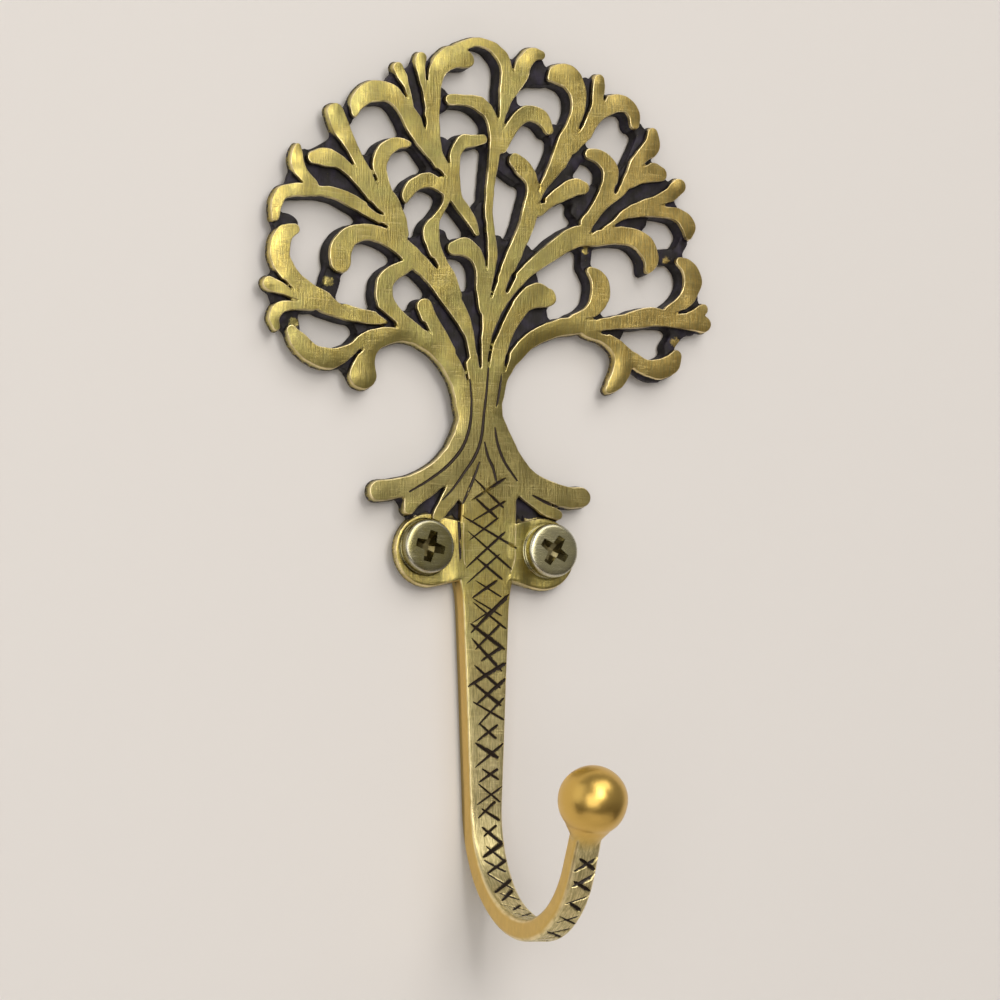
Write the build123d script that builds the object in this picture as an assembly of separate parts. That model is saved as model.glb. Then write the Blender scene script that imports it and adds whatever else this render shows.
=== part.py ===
"""Cast brass wall hook: a tree of pierced boughs on a tapering shaft that bends into a ball-ended hook.

The frame has +X to the right of someone facing the wall, +Y into the wall and +Z up. The wall is the
plane Y = 0, and the origin lies on it midway between the two screws. Sizes are in millimetres.
"""
import os
from math import ceil, cos, radians

from build123d import *

# Casting
CAST_THICKNESS = 3.2
WEB_THICKNESS = 1.6
SMALLEST_PIERCING = 3.0
BOUGH_TURN = 36.0
BOUGH_TIP_TURN = 60.0
HOLLOW_TURN = 120.0
HOLLOW_TIP_TURN = 90.0
TREE_WIDTH = 73.0
TREE_OFFSET = 0.4
TREE_DRAWN_WIDTH = 73.0
TREE_FOOT_Z = 6.0

# Engraved lines on the trunk and its roots
ROOT_LINE_HALF_WIDTH = 0.2
ROOT_LINE_DEPTH = 0.5

# Lugs and screws
SCREW_X = 9.9
LUG_INSET = 0.6
LUG_DROP = 0.4
LUG_RIM = 1.3
LUG_NECK_X = 3.0
LUG_NECK_HALF_HEIGHT = 3.9
LUG_THICKNESS = 2.6
HOLE_CLEARANCE = 0.3
LEFT_SEAT_DEPTH = 0.9
RIGHT_SEAT_DEPTH = 0.15
SEAT_CLEARANCE = 0.25
HEAD_RADIUS = 4.0
HEAD_HEIGHT = 2.8
HEAD_BEVEL = 0.7
RECESS_SPAN = 4.6
RECESS_WING = 1.15
RECESS_DEPTH = 1.7
RECESS_FOOT_SPAN = 4.1
RECESS_FOOT_WING = 0.7
LEFT_RECESS_TURN = 14.0
RIGHT_RECESS_TURN = 32.0
SCREW_LENGTH = 25.0
THREAD_RADIUS = 2.1
CORE_RADIUS = 1.6
THREAD_START_Y = 0.3
POINT_LENGTH = 4.0

# Shaft, bend and ball
SHAFT_X = -0.25
SHAFT_TOP_Z = 8.0
SHAFT_TOP_WIDTH = 9.0
SHAFT_NECK_Z = -8.0
SHAFT_NECK_WIDTH = 7.0
BEND_START_Z = -37.5
BEND_START_WIDTH = 4.9
BEND_BACK_RADIUS = 17.9
BEND_LOW_WIDTH = 4.2
BEND_FRONT_RADIUS = 14.5
ARM_LEAN = 24.0
ARM_WIDTH = 3.6
ARM_LENGTH = 10.5
ARM_END_WIDTH = 3.2
BALL_RADIUS = 4.9
BALL_NECK_LENGTH = 2.0
BALL_NECK_FOOT_RADIUS = 1.7
BALL_NECK_RADIUS = 2.9

# Crossed chisel marks
MARK_PITCH = 3.6
MARK_ANGLE = 40.0
MARK_DEPTH = 0.3
MARK_REACH = 0.8
MARK_TOP_Z = 9.0

FRONT = Plane(origin=(0, 0, 0), x_dir=(1, 0, 0), z_dir=(0, -1, 0))
SIDE = Plane(origin=(SHAFT_X, 0, 0), x_dir=(0, -1, 0), z_dir=(-1, 0, 0))

# Boughs of the tree: (x, z, half width) stations from the tip inwards
LEFT_BOUGHS = [
    [(-20.4, 24.8, 2.15), (-20.0, 26.8, 1.5), (-18.9, 28.8, 1.0), (-16.5, 30.6, 1.2), (-13.5, 31.2, 1.2),
     (-10.5, 30.4, 1.3), (-7.8, 28.6, 1.4), (-5.8, 26.2, 1.4), (-4.7, 23.0, 1.2), (-4.1, 19.0, 1.0)],
    [(-31.8, 30.7, 0.7), (-30.3, 28.8, 1.3), (-28.2, 27.3, 1.4), (-26.0, 26.8, 1.5), (-24.0, 27.3, 1.2),
     (-22.0, 28.6, 0.8), (-20.0, 30.0, 1.0), (-17.0, 31.0, 0.9)],
    [(-31.4, 45.3, 0.8), (-33.0, 44.4, 1.35), (-33.6, 42.3, 1.55), (-33.3, 40.5, 1.45), (-32.0, 38.6, 1.3),
     (-30.0, 36.9, 1.3), (-27.0, 35.1, 1.5), (-24.0, 33.9, 1.2), (-20.0, 33.2, 1.0), (-16.5, 33.2, 0.8)],
    [(-35.3, 37.3, 0.95), (-33.8, 36.7, 0.9), (-32.0, 36.0, 0.6), (-29.5, 35.5, 0.7)],
    [(-34.0, 31.0, 0.5), (-34.4, 32.3, 0.8), (-33.6, 33.7, 0.9), (-31.5, 34.2, 0.7), (-28.5, 34.5, 0.9)],
    [(-13.0, 41.2, 0.8), (-15.0, 40.3, 1.1), (-16.8, 38.8, 1.3), (-17.2, 36.8, 1.4), (-16.4, 34.8, 1.4),
     (-14.3, 32.9, 1.2), (-11.5, 31.2, 1.0)],
    [(-10.7, 35.2, 1.25), (-9.8, 33.4, 1.2), (-8.3, 31.2, 1.2), (-6.8, 28.9, 1.1)],
    [(-24.1, 41.0, 1.6), (-24.1, 42.6, 1.75), (-22.8, 44.7, 1.5), (-20.5, 45.6, 1.2), (-17.5, 45.3, 1.2),
     (-14.5, 44.0, 1.4), (-12.0, 42.0, 1.4), (-9.5, 39.9, 1.3), (-7.0, 37.3, 1.5), (-5.1, 34.8, 1.3),
     (-3.7, 32.2, 0.9), (-3.0, 29.5, 0.65), (-2.5, 26.0, 0.6)],
    [(-34.3, 46.9, 0.6), (-34.2, 48.5, 0.75), (-33.6, 50.2, 0.9), (-32.0, 51.0, 1.0), (-28.5, 51.2, 0.85),
     (-25.0, 51.0, 0.8), (-22.0, 49.9, 1.0), (-19.0, 48.4, 0.8), (-15.5, 47.0, 0.9)],
    [(-30.8, 57.5, 0.5), (-31.0, 56.4, 0.85), (-30.9, 55.0, 0.95), (-30.1, 53.5, 0.9), (-28.3, 51.9, 0.7)],
    [(-28.3, 56.0, 0.95), (-26.5, 56.2, 1.4), (-24.5, 55.7, 1.0), (-22.5, 54.4, 0.9), (-20.0, 52.5, 1.2),
     (-17.8, 50.2, 1.3), (-15.5, 47.8, 1.2)],
    [(-25.0, 63.0, 1.3), (-24.2, 61.0, 1.35), (-23.0, 59.0, 1.05), (-21.8, 57.0, 0.9), (-20.7, 55.0, 0.9),
     (-19.3, 52.8, 0.9)],
    [(-13.3, 59.1, 0.5), (-15.0, 59.1, 0.9), (-17.0, 58.0, 1.2), (-17.9, 56.0, 1.15), (-17.6, 54.0, 0.95),
     (-17.0, 52.0, 1.0), (-16.0, 50.0, 1.3), (-14.8, 47.8, 1.2), (-14.2, 45.8, 1.0)],
    [(-21.9, 63.0, 0.55), (-21.5, 64.5, 1.0), (-19.8, 66.2, 1.5), (-17.4, 66.7, 1.6), (-15.2, 65.8, 1.3),
     (-13.6, 63.9, 1.3), (-12.2, 62.0, 1.5), (-10.3, 59.7, 1.6), (-8.4, 57.0, 1.1), (-6.8, 54.2, 1.0)],
    [(-14.9, 70.4, 0.85), (-14.3, 69.1, 0.8), (-13.6, 67.4, 0.45), (-13.1, 65.0, 0.5)],
    [(-11.2, 72.2, 0.9), (-11.5, 70.8, 0.8), (-11.1, 69.0, 0.6), (-10.4, 66.5, 0.6), (-9.8, 63.5, 0.6)],
    [(-3.9, 72.5, 1.25), (-6.2, 72.7, 1.7), (-8.3, 71.0, 1.4), (-9.2, 68.5, 1.2), (-9.4, 66.0, 1.2),
     (-9.5, 63.0, 1.2), (-9.3, 60.0, 1.2), (-8.4, 57.0, 0.9), (-7.0, 54.5, 0.9)],
    [(-13.7, 50.6, 0.35), (-13.5, 51.7, 0.8), (-12.2, 53.2, 1.0), (-10.2, 54.0, 1.1), (-8.2, 53.4, 0.95),
     (-6.0, 52.4, 1.1)],
    [(-8.9, 48.3, 0.6), (-9.6, 46.5, 1.3), (-9.3, 44.5, 1.15), (-8.2, 42.3, 1.0), (-6.8, 40.0, 1.0),
     (-5.6, 37.3, 1.0)],
    [(-8.9, 48.3, 0.6), (-7.8, 49.9, 0.45), (-6.9, 52.0, 0.6)],
]
CENTRE_BOUGHS = [
    [(-1.3, 60.8, 0.7), (-2.8, 60.4, 0.9), (-4.5, 60.1, 1.0), (-5.6, 58.5, 0.9), (-5.9, 56.0, 0.85),
     (-6.1, 53.6, 1.2), (-5.5, 51.6, 1.0), (-4.3, 50.1, 0.9), (-3.1, 48.4, 0.75), (-2.2, 46.6, 0.4)],
    [(-6.0, 44.2, 0.95), (-4.2, 44.5, 1.35), (-2.5, 43.5, 1.15), (-1.6, 41.5, 0.9), (-1.2, 39.0, 1.1),
     (-0.6, 35.5, 1.2)],
    [(-6.6, 66.3, 0.75), (-4.0, 66.4, 0.85), (-1.8, 66.0, 1.1), (-0.1, 64.6, 1.0), (0.8, 62.4, 1.0),
     (0.8, 59.5, 0.95), (0.2, 55.5, 0.75), (-0.2, 51.0, 0.65), (0.1, 47.0, 0.65), (0.4, 44.0, 0.8),
     (0.1, 40.5, 0.6), (0.2, 36.5, 0.9)],
    [(-5.2, 74.1, 0.8), (-2.5, 75.3, 0.7), (0.0, 75.0, 0.8), (1.9, 73.7, 1.0), (2.7, 71.5, 0.9),
     (2.6, 69.0, 0.95), (2.4, 66.5, 0.9), (1.8, 63.8, 0.5), (1.2, 61.0, 0.9)],
    [(8.6, 74.3, 0.7), (7.0, 74.2, 1.1), (5.6, 72.6, 1.2), (4.6, 70.2, 1.2), (3.3, 67.6, 0.6),
     (2.0, 65.0, 0.3)],
    [(9.7, 63.0, 0.7), (8.7, 64.7, 1.1), (6.6, 65.3, 1.2), (4.7, 64.3, 1.15), (3.1, 62.1, 1.0),
     (1.8, 59.8, 1.0)],
    [(0.6, 36.5, 1.95), (0.0, 34.0, 1.35), (-0.5, 31.0, 0.95), (-0.8, 28.0, 0.7), (-1.2, 24.5, 0.9)],
    [(-1.6, 26.0, 2.8), (-1.45, 22.0, 3.45), (-1.4, 18.5, 3.75), (-1.2, 15.0, 4.8), (-0.6, 11.0, 6.0)],
]
RIGHT_BOUGHS = [
    [(4.1, 58.0, 1.1), (5.6, 56.8, 1.3), (6.9, 55.0, 1.0), (7.0, 53.0, 1.0), (6.6, 50.5, 1.3),
     (5.6, 47.5, 1.2), (4.0, 44.0, 1.2), (2.6, 41.0, 1.0), (1.4, 38.0, 0.9)],
    [(15.5, 54.7, 0.9), (14.0, 54.7, 1.3), (12.0, 53.6, 1.2), (10.0, 52.3, 0.9), (8.0, 50.8, 0.9)],
    [(10.0, 70.9, 0.5), (11.4, 71.6, 1.5), (13.4, 71.2, 1.85), (14.6, 69.0, 1.4), (14.6, 66.5, 1.1),
     (13.8, 64.0, 1.1), (12.8, 61.5, 1.5), (11.7, 59.0, 1.4), (10.2, 56.5, 1.0), (8.8, 54.4, 0.55),
     (7.8, 52.6, 0.6)],
    [(18.3, 71.3, 0.95), (18.1, 69.5, 1.1), (17.8, 67.5, 0.95), (17.0, 65.3, 0.95), (15.8, 63.0, 1.0),
     (13.6, 60.6, 1.0)],
    [(24.2, 65.0, 0.8), (24.2, 66.5, 1.05), (23.0, 67.8, 1.15), (21.0, 68.0, 1.4), (19.0, 67.0, 1.3),
     (17.4, 65.2, 0.9), (16.0, 62.8, 0.9)],
    [(16.5, 59.9, 0.85), (18.4, 59.5, 1.1), (20.0, 58.0, 1.3), (20.0, 56.0, 1.25), (19.3, 54.0, 1.3),
     (17.9, 51.9, 1.05), (16.1, 49.5, 1.15)],
    [(27.4, 63.9, 0.9), (27.3, 62.2, 1.35), (26.2, 60.8, 1.35), (24.7, 59.0, 1.2), (23.4, 56.9, 0.9),
     (21.9, 54.7, 0.75), (19.3, 52.7, 0.7), (17.0, 50.6, 0.9)],
    [(28.8, 57.8, 1.1), (27.2, 57.9, 1.5), (25.3, 57.3, 1.2), (23.2, 56.0, 0.9)],
    [(26.3, 42.9, 0.5), (26.9, 44.5, 1.2), (26.0, 46.6, 1.55), (23.8, 47.8, 1.4), (21.0, 47.9, 1.3),
     (18.0, 47.3, 1.2), (15.0, 47.4, 1.6), (12.3, 46.2, 1.5), (9.5, 44.2, 1.3), (6.5, 41.9, 1.05),
     (3.8, 39.1, 0.9), (1.4, 36.2, 0.9)],
    [(32.0, 56.2, 1.2), (30.3, 54.7, 1.15), (28.0, 53.5, 0.95), (25.5, 52.5, 1.0), (23.0, 51.5, 0.8),
     (21.0, 50.1, 0.4), (19.2, 48.6, 0.5)],
    [(33.5, 48.8, 0.8), (33.4, 50.3, 1.35), (32.0, 51.6, 1.15), (29.5, 52.0, 0.9), (26.5, 51.9, 0.75),
     (23.5, 51.4, 0.7)],
    [(31.9, 44.6, 0.7), (33.4, 43.8, 1.3), (34.2, 42.0, 1.65), (33.6, 40.0, 1.4), (32.2, 38.3, 1.1),
     (30.0, 36.7, 1.0)],
    [(36.0, 37.6, 0.85), (34.0, 36.5, 0.8), (31.0, 35.8, 0.9), (27.0, 35.9, 1.5), (22.0, 34.9, 1.05),
     (18.0, 34.2, 0.95), (14.0, 33.9, 1.3), (10.5, 33.1, 1.25), (7.3, 31.6, 1.2), (4.6, 29.2, 1.1),
     (2.5, 26.0, 0.85), (1.3, 22.0, 0.85)],
    [(36.0, 35.4, 1.25), (33.5, 35.5, 1.1), (30.0, 35.6, 1.0)],
    [(16.6, 42.3, 0.6), (18.0, 41.2, 1.3), (18.4, 39.5, 1.55), (18.0, 37.7, 1.4), (16.5, 36.0, 1.0),
     (14.0, 34.7, 0.9)],
    [(19.8, 24.5, 0.6), (20.7, 25.4, 1.1), (21.8, 27.0, 1.4), (22.3, 29.0, 1.5), (21.3, 31.0, 1.1),
     (19.0, 32.3, 0.8), (16.0, 33.2, 0.8)],
    [(31.4, 30.3, 0.9), (30.4, 29.0, 1.45), (28.5, 28.1, 1.5), (26.0, 28.3, 1.2), (23.7, 29.4, 1.1),
     (21.8, 30.8, 0.9)],
    [(9.3, 37.8, 1.5), (7.6, 38.0, 1.85), (5.6, 36.8, 1.5), (3.85, 34.4, 1.25), (2.45, 31.7, 1.15),
     (1.3, 28.5, 1.2), (0.9, 25.0, 1.1)],
]
ROOTS = [
    [(-17.9, 7.9, 1.5), (-15.5, 8.3, 1.45), (-12.5, 9.1, 1.35), (-9.5, 10.7, 1.2), (-7.0, 12.8, 1.2),
     (-5.0, 15.8, 1.2), (-3.6, 19.0, 1.2)],
    [(-13.1, 5.4, 0.8), (-12.3, 7.1, 1.3), (-9.6, 9.0, 1.3), (-7.0, 11.2, 1.2), (-4.8, 14.5, 1.2)],
    [(-8.6, 4.4, 0.8), (-7.1, 6.6, 1.15), (-5.2, 9.4, 1.5), (-3.2, 13.0, 1.6)],
    [(15.2, 8.2, 1.45), (12.5, 8.2, 1.6), (9.5, 9.0, 1.5), (6.6, 10.5, 1.4), (4.3, 12.8, 1.4),
     (2.4, 16.0, 1.4), (1.2, 19.5, 1.0)],
    [(11.2, 5.4, 0.75), (9.5, 6.0, 0.9), (7.3, 7.5, 1.1), (5.0, 9.8, 1.4), (2.6, 13.0, 1.5)],
    [(-0.3, 10.0, 4.6), (-0.2, 5.0, 4.3), (-0.2, 2.0, 4.3), (-0.2, -1.0, 4.2)],
]
# Hollows between the boughs that stay filled to the level of the web
HOLLOWS = [
    [(-24.6, 25.6, 0.9), (-22.6, 26.6, 0.9), (-20.6, 28.6, 0.6)],
    [(-31.6, 33.4, 1.2), (-31.2, 31.2, 1.3)],
    [(-20.5, 32.0, 0.9), (-17.5, 32.2, 0.6), (-15.0, 32.1, 0.5)],
    [(-13.2, 33.5, 1.2), (-11.0, 31.8, 0.7)],
    [(-9.3, 38.0, 1.4), (-7.2, 33.5, 1.5), (-5.0, 30.0, 1.2), (-3.9, 26.5, 0.6)],
    [(-34.6, 38.6, 0.6), (-33.0, 37.4, 0.5)],
    [(-34.8, 35.3, 0.6), (-31.5, 35.2, 0.4)],
    [(-34.4, 46.2, 0.9), (-32.2, 46.7, 1.1), (-31.0, 46.3, 0.8)],
    [(-32.2, 53.0, 0.7), (-30.6, 52.6, 0.5)],
    [(-24.6, 40.0, 1.2), (-25.0, 38.4, 1.4), (-25.3, 37.0, 1.3)],
    [(-29.2, 57.2, 0.9), (-29.3, 54.8, 0.9), (-27.0, 53.3, 1.6), (-23.5, 52.8, 1.5), (-20.5, 50.4, 1.0)],
    [(-28.0, 57.8, 0.4), (-25.5, 58.3, 0.9), (-24.0, 57.4, 1.0), (-22.3, 56.3, 0.7)],
    [(-23.0, 63.7, 0.8), (-22.5, 62.2, 0.8)],
    [(-20.0, 56.5, 0.8), (-18.9, 53.5, 0.7)],
    [(-15.0, 51.2, 0.9), (-14.0, 50.0, 0.7)],
    [(-13.0, 59.8, 0.8), (-10.8, 57.2, 1.0), (-8.0, 54.8, 0.5)],
    [(-15.9, 69.0, 0.6), (-14.0, 66.6, 0.5)],
    [(-13.2, 70.6, 0.6), (-12.3, 67.0, 1.0), (-11.0, 62.8, 0.8)],
    [(-9.9, 72.2, 0.5), (-10.4, 69.0, 0.4)],
    [(-7.4, 67.3, 0.9), (-7.6, 66.0, 0.9), (-7.2, 65.2, 0.7)],
    [(-7.2, 60.0, 0.9), (-7.3, 57.5, 0.8), (-6.9, 55.8, 0.5)],
    [(-1.2, 62.8, 0.8), (-0.6, 61.0, 0.9), (-1.0, 58.0, 0.7)],
    [(-1.4, 53.0, 0.6), (-1.5, 49.5, 1.2), (-1.2, 46.4, 1.1), (-0.7, 43.4, 0.5)],
    [(-3.7, 46.8, 0.7), (-2.2, 45.2, 0.8), (-1.0, 43.5, 0.5)],
    [(-7.4, 46.2, 0.9), (-7.1, 43.4, 1.0)],
    [(-11.9, 44.9, 0.7), (-10.6, 42.6, 0.6), (-8.8, 40.9, 0.4)],
    [(-4.0, 39.6, 1.0), (-3.2, 36.6, 1.2), (-2.2, 32.0, 1.0), (-1.7, 27.6, 0.6)],
    [(3.7, 74.0, 0.5), (3.7, 71.6, 0.5)],
    [(8.8, 73.3, 1.0), (7.4, 71.4, 1.3), (6.2, 70.2, 0.9)],
    [(9.9, 70.6, 0.7), (7.6, 70.6, 0.8)],
    [(4.2, 67.6, 0.9), (2.9, 65.0, 0.7), (1.9, 63.2, 0.4)],
    [(10.6, 63.0, 1.2), (10.4, 60.6, 1.1), (9.4, 57.6, 0.9), (8.2, 55.2, 0.6)],
    [(2.5, 58.6, 0.9), (2.3, 56.6, 0.9), (4.6, 54.8, 0.8)],
    [(1.9, 46.6, 1.0), (1.6, 43.0, 0.9), (0.6, 39.6, 0.5)],
    [(16.6, 72.0, 0.6), (16.6, 69.0, 0.7), (15.8, 65.5, 0.6), (14.8, 63.4, 0.4)],
    [(19.6, 69.3, 0.5), (18.9, 68.3, 0.4)],
    [(25.8, 65.4, 0.6), (24.6, 63.4, 0.9), (23.2, 60.5, 0.9), (21.6, 57.0, 0.8), (20.9, 54.8, 0.4)],
    [(27.6, 60.0, 0.5), (25.8, 58.9, 0.4)],
    [(31.4, 57.2, 0.5), (29.5, 56.0, 0.6), (26.0, 55.0, 1.3), (22.5, 53.0, 1.1), (19.5, 50.6, 1.0),
     (17.0, 48.3, 0.5)],
    [(32.2, 53.4, 0.5), (29.0, 52.9, 0.4)],
    [(26.0, 50.3, 0.9), (22.0, 49.9, 0.6)],
    [(33.4, 47.8, 1.1), (32.0, 46.0, 1.0), (29.6, 45.4, 1.2), (27.4, 45.0, 0.9)],
    [(15.3, 60.7, 1.0), (14.2, 58.4, 1.2), (12.0, 56.2, 0.9), (9.0, 53.4, 0.6)],
    [(17.2, 54.2, 1.1), (15.4, 52.5, 1.1), (13.4, 51.5, 1.2)],
    [(6.5, 44.8, 0.9), (5.0, 42.6, 0.8), (3.0, 39.4, 0.5)],
    [(8.0, 40.6, 0.6), (5.0, 38.8, 0.5), (2.4, 35.2, 0.5), (0.4, 30.6, 0.4)],
    [(16.0, 45.4, 1.3), (15.8, 43.0, 1.2)],
    [(35.8, 39.6, 0.6), (33.6, 38.0, 0.6), (31.6, 36.9, 0.4)],
    [(18.2, 35.7, 0.6), (16.4, 35.0, 0.4)],
    [(22.0, 33.3, 0.8), (18.5, 33.3, 0.5)],
    [(34.8, 33.8, 0.7), (32.4, 33.6, 1.0), (30.8, 31.6, 1.2)],
    [(9.2, 35.4, 0.9), (6.6, 34.2, 1.2), (4.2, 31.0, 1.1), (2.8, 27.8, 0.5)],
    [(24.6, 27.4, 0.7), (26.6, 26.4, 0.8), (29.0, 26.4, 0.7)],
    [(-9.6, 5.0, 1.8), (-8.2, 7.0, 1.3), (-6.8, 9.0, 0.7)],
    [(-5.2, 6.4, 1.2), (-5.2, 4.6, 1.2), (-4.9, 2.0, 0.8)],
    [(5.4, 7.2, 1.2), (6.2, 5.4, 1.7), (8.4, 5.2, 0.9)],
]
# Engraved lines: (x, z) points from the trunk outwards
ROOT_LINES = [
    [(-0.2, 28.5), (-0.6, 24.0), (-1.1, 19.5), (-1.6, 16.0), (-2.6, 13.5), (-4.2, 11.2), (-6.0, 8.8),
     (-7.8, 6.9)],
    [(-3.4, 25.0), (-3.1, 21.5), (-3.4, 18.0), (-4.6, 14.8), (-7.0, 12.0), (-10.0, 9.8), (-13.2, 7.9)],
    [(1.9, 26.0), (1.5, 23.5), (1.0, 21.0)],
    [(0.7, 18.0), (1.2, 15.5), (2.4, 12.8), (4.4, 10.2)],
    [(-1.0, 15.8), (-0.4, 13.6), (0.4, 12.0), (1.0, 9.8)],
    [(-1.8, 12.8), (-2.7, 10.4), (-3.7, 8.2), (-4.6, 6.4)],
    [(12.3, 6.3), (10.0, 6.9), (8.4, 7.5), (6.8, 8.2)],
]


def drawn(x, z):
    """A point of the tree's drawing, at the tree's real size."""
    scale = TREE_WIDTH / TREE_DRAWN_WIDTH
    return Vector(TREE_OFFSET + x * scale, TREE_FOOT_Z + (z - TREE_FOOT_Z) * scale)


def chords(points, turn):
    """A smooth curve through the points as chords that turn by about so many degrees, or fewer."""
    if len(points) == 2:
        return points
    curve = Spline(*points)
    spans = len(points) - 1
    headings = [curve % (i / spans) for i in range(spans + 1)]
    turned = sum(a.get_angle(b) for a, b in zip(headings, headings[1:]))
    count = max(spans, ceil(turned / turn))
    return [curve @ (i / count) for i in range(count + 1)]


def tip(centre, heading, reach, turn):
    """The points of a round tip between the left and the right side of a stroke."""
    count = round(180 / turn)
    return [centre + heading.rotate(Axis.Z, 90 - 180 * i / count) * reach for i in range(1, count)]


def tapered_face(centres, reach, turn, tip_turn):
    """A flat tapered stroke with round tips, reaching so far to each side of its centre points."""
    last = len(centres) - 1
    headings = [
        (centres[min(i + 1, last)] - centres[max(i - 1, 0)]).normalized() for i in range(last + 1)
    ]
    sideways = [heading.rotate(Axis.Z, 90) for heading in headings]
    left = [c + across * r for c, across, r in zip(centres, sideways, reach)]
    right = [c - across * r for c, across, r in zip(centres, sideways, reach)]
    outline = [
        *chords(left, turn),
        *tip(centres[last], headings[last], reach[last], tip_turn),
        *chords(right[::-1], turn),
        *tip(centres[0], -headings[0], reach[0], tip_turn),
    ]
    return make_face(Polyline(*outline, close=True))


def stroke(stations, turn, tip_turn):
    """A bough, hollow or line of the tree."""
    scale = TREE_WIDTH / TREE_DRAWN_WIDTH
    centres = [drawn(x, z) for x, z, _ in stations]
    return tapered_face(centres, [half * scale for _, _, half in stations], turn, tip_turn)


def raised(faces, bottom, top):
    """The union of flat faces, raised off the wall between two depths."""
    return extrude(FRONT.offset(bottom) * (Sketch() + faces), amount=top - bottom, dir=FRONT.z_dir)


def tree():
    """The boughs, trunk and roots at full thickness, with the hollows between them filled to the web."""
    strokes = LEFT_BOUGHS + CENTRE_BOUGHS + RIGHT_BOUGHS + ROOTS
    boughs = [stroke(bough, BOUGH_TURN, BOUGH_TIP_TURN) for bough in strokes]
    hollows = [stroke(hollow, HOLLOW_TURN, HOLLOW_TIP_TURN) for hollow in HOLLOWS]
    ground = (Sketch() + boughs + hollows).face()
    pits = [Face(wire) for wire in ground.inner_wires() if Face(wire).area < SMALLEST_PIERCING]
    return raised(boughs, 0, CAST_THICKNESS) + raised(hollows + pits, 0, WEB_THICKNESS)


def root_lines():
    """The cutters of the lines engraved down the trunk and along its roots."""
    lines = [[(x, z, ROOT_LINE_HALF_WIDTH) for x, z in line] for line in ROOT_LINES]
    grooves = [stroke(line, HOLLOW_TURN, HOLLOW_TIP_TURN) for line in lines]
    return raised(grooves, CAST_THICKNESS - ROOT_LINE_DEPTH, CAST_THICKNESS + ROOT_LINE_DEPTH)


def lug(side):
    """One lug beside the shaft, on the left with side -1 and on the right with side 1."""
    radius = HEAD_RADIUS + LUG_RIM
    middle = side * (SCREW_X - LUG_INSET)
    neck = Polyline(
        (middle, radius - LUG_DROP),
        (side * LUG_NECK_X, LUG_NECK_HALF_HEIGHT - LUG_DROP),
        (side * LUG_NECK_X, -LUG_NECK_HALF_HEIGHT - LUG_DROP),
        (middle, -radius - LUG_DROP),
        close=True,
    )
    return raised([Pos(middle, -LUG_DROP) * Circle(radius), make_face(neck)], 0, LUG_THICKNESS)


def screw_room(side, seat_depth):
    """The hole through a lug and the flat seat that the screw's head pulls down on."""
    spot = FRONT * Pos(side * SCREW_X, 0, 0)
    hole = spot * Cylinder(THREAD_RADIUS + HOLE_CLEARANCE, 2 * CAST_THICKNESS)
    seat = spot * Pos(0, 0, LUG_THICKNESS - seat_depth) * Cylinder(
        HEAD_RADIUS + SEAT_CLEARANCE, HEAD_HEIGHT, align=(Align.CENTER, Align.CENTER, Align.MIN)
    )
    return hole + seat


def shaft():
    """The flat shaft that narrows from the trunk to the bend."""
    stations = [
        (SHAFT_TOP_Z, SHAFT_TOP_WIDTH),
        (SHAFT_NECK_Z, SHAFT_NECK_WIDTH),
        (BEND_START_Z, BEND_START_WIDTH),
    ]
    left = [(SHAFT_X - width / 2, z) for z, width in stations]
    right = [(SHAFT_X + width / 2, z) for z, width in stations]
    return raised([make_face(Polyline(*left, *right[::-1], close=True))], 0, CAST_THICKNESS)


def bend_path():
    """The centre line of the bend and the arm, from the shaft's foot to the middle of the ball."""
    foot = (CAST_THICKNESS / 2, BEND_START_Z)
    back = JernArc(foot, (0, -1), BEND_BACK_RADIUS, 90)
    front = JernArc(back @ 1, (1, 0), BEND_FRONT_RADIUS, 90 - ARM_LEAN)
    arm = Line(front @ 1, front @ 1 + (front % 1) * ARM_LENGTH)
    return SIDE * Wire([back, front, arm])


def bar_stations():
    """(distance below the bend's start, width) where the bar's width is set."""
    low = radians(90) * BEND_BACK_RADIUS
    arm = low + radians(90 - ARM_LEAN) * BEND_FRONT_RADIUS
    return [
        (BEND_START_Z - SHAFT_TOP_Z, SHAFT_TOP_WIDTH),
        (BEND_START_Z - SHAFT_NECK_Z, SHAFT_NECK_WIDTH),
        (0, BEND_START_WIDTH),
        (low, BEND_LOW_WIDTH),
        (arm, ARM_WIDTH),
        (arm + ARM_LENGTH, ARM_END_WIDTH),
    ]


def bar_at(path, distance):
    """The plane across the bar, with local Y on its front or inner side, so far below the bend's start."""
    if distance <= 0:
        return Plane(origin=path @ 0 - Vector(0, 0, distance), x_dir=(1, 0, 0), z_dir=(0, 0, -1))
    heading = path.tangent_at(distance, position_mode=PositionMode.LENGTH)
    point = path.position_at(distance, position_mode=PositionMode.LENGTH)
    return Plane(origin=point, x_dir=(1, 0, 0), z_dir=heading)


def bar_width(distance):
    """Width of the bar so far below the bend's start."""
    stations = bar_stations()
    for (d0, w0), (d1, w1) in zip(stations, stations[1:]):
        if distance <= d1:
            return w0 + (w1 - w0) * (distance - d0) / (d1 - d0)
    return ARM_END_WIDTH


def bend(path):
    """The tapering bar of the bend and the arm."""
    sections = [
        bar_at(path, distance) * Rectangle(width, CAST_THICKNESS)
        for distance, width in bar_stations()[2:]
    ]
    return sweep(sections, path=path, multisection=True)


def ball(path):
    """The ball that ends the arm, with its flared neck."""
    middle = bar_at(path, bar_stations()[-1][0])
    foot = BALL_RADIUS + BALL_NECK_LENGTH
    neck = middle.offset(-foot) * Cone(
        BALL_NECK_FOOT_RADIUS, BALL_NECK_RADIUS, foot / 2, align=(Align.CENTER, Align.CENTER, Align.MIN)
    )
    return middle * Sphere(BALL_RADIUS) + neck


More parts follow.
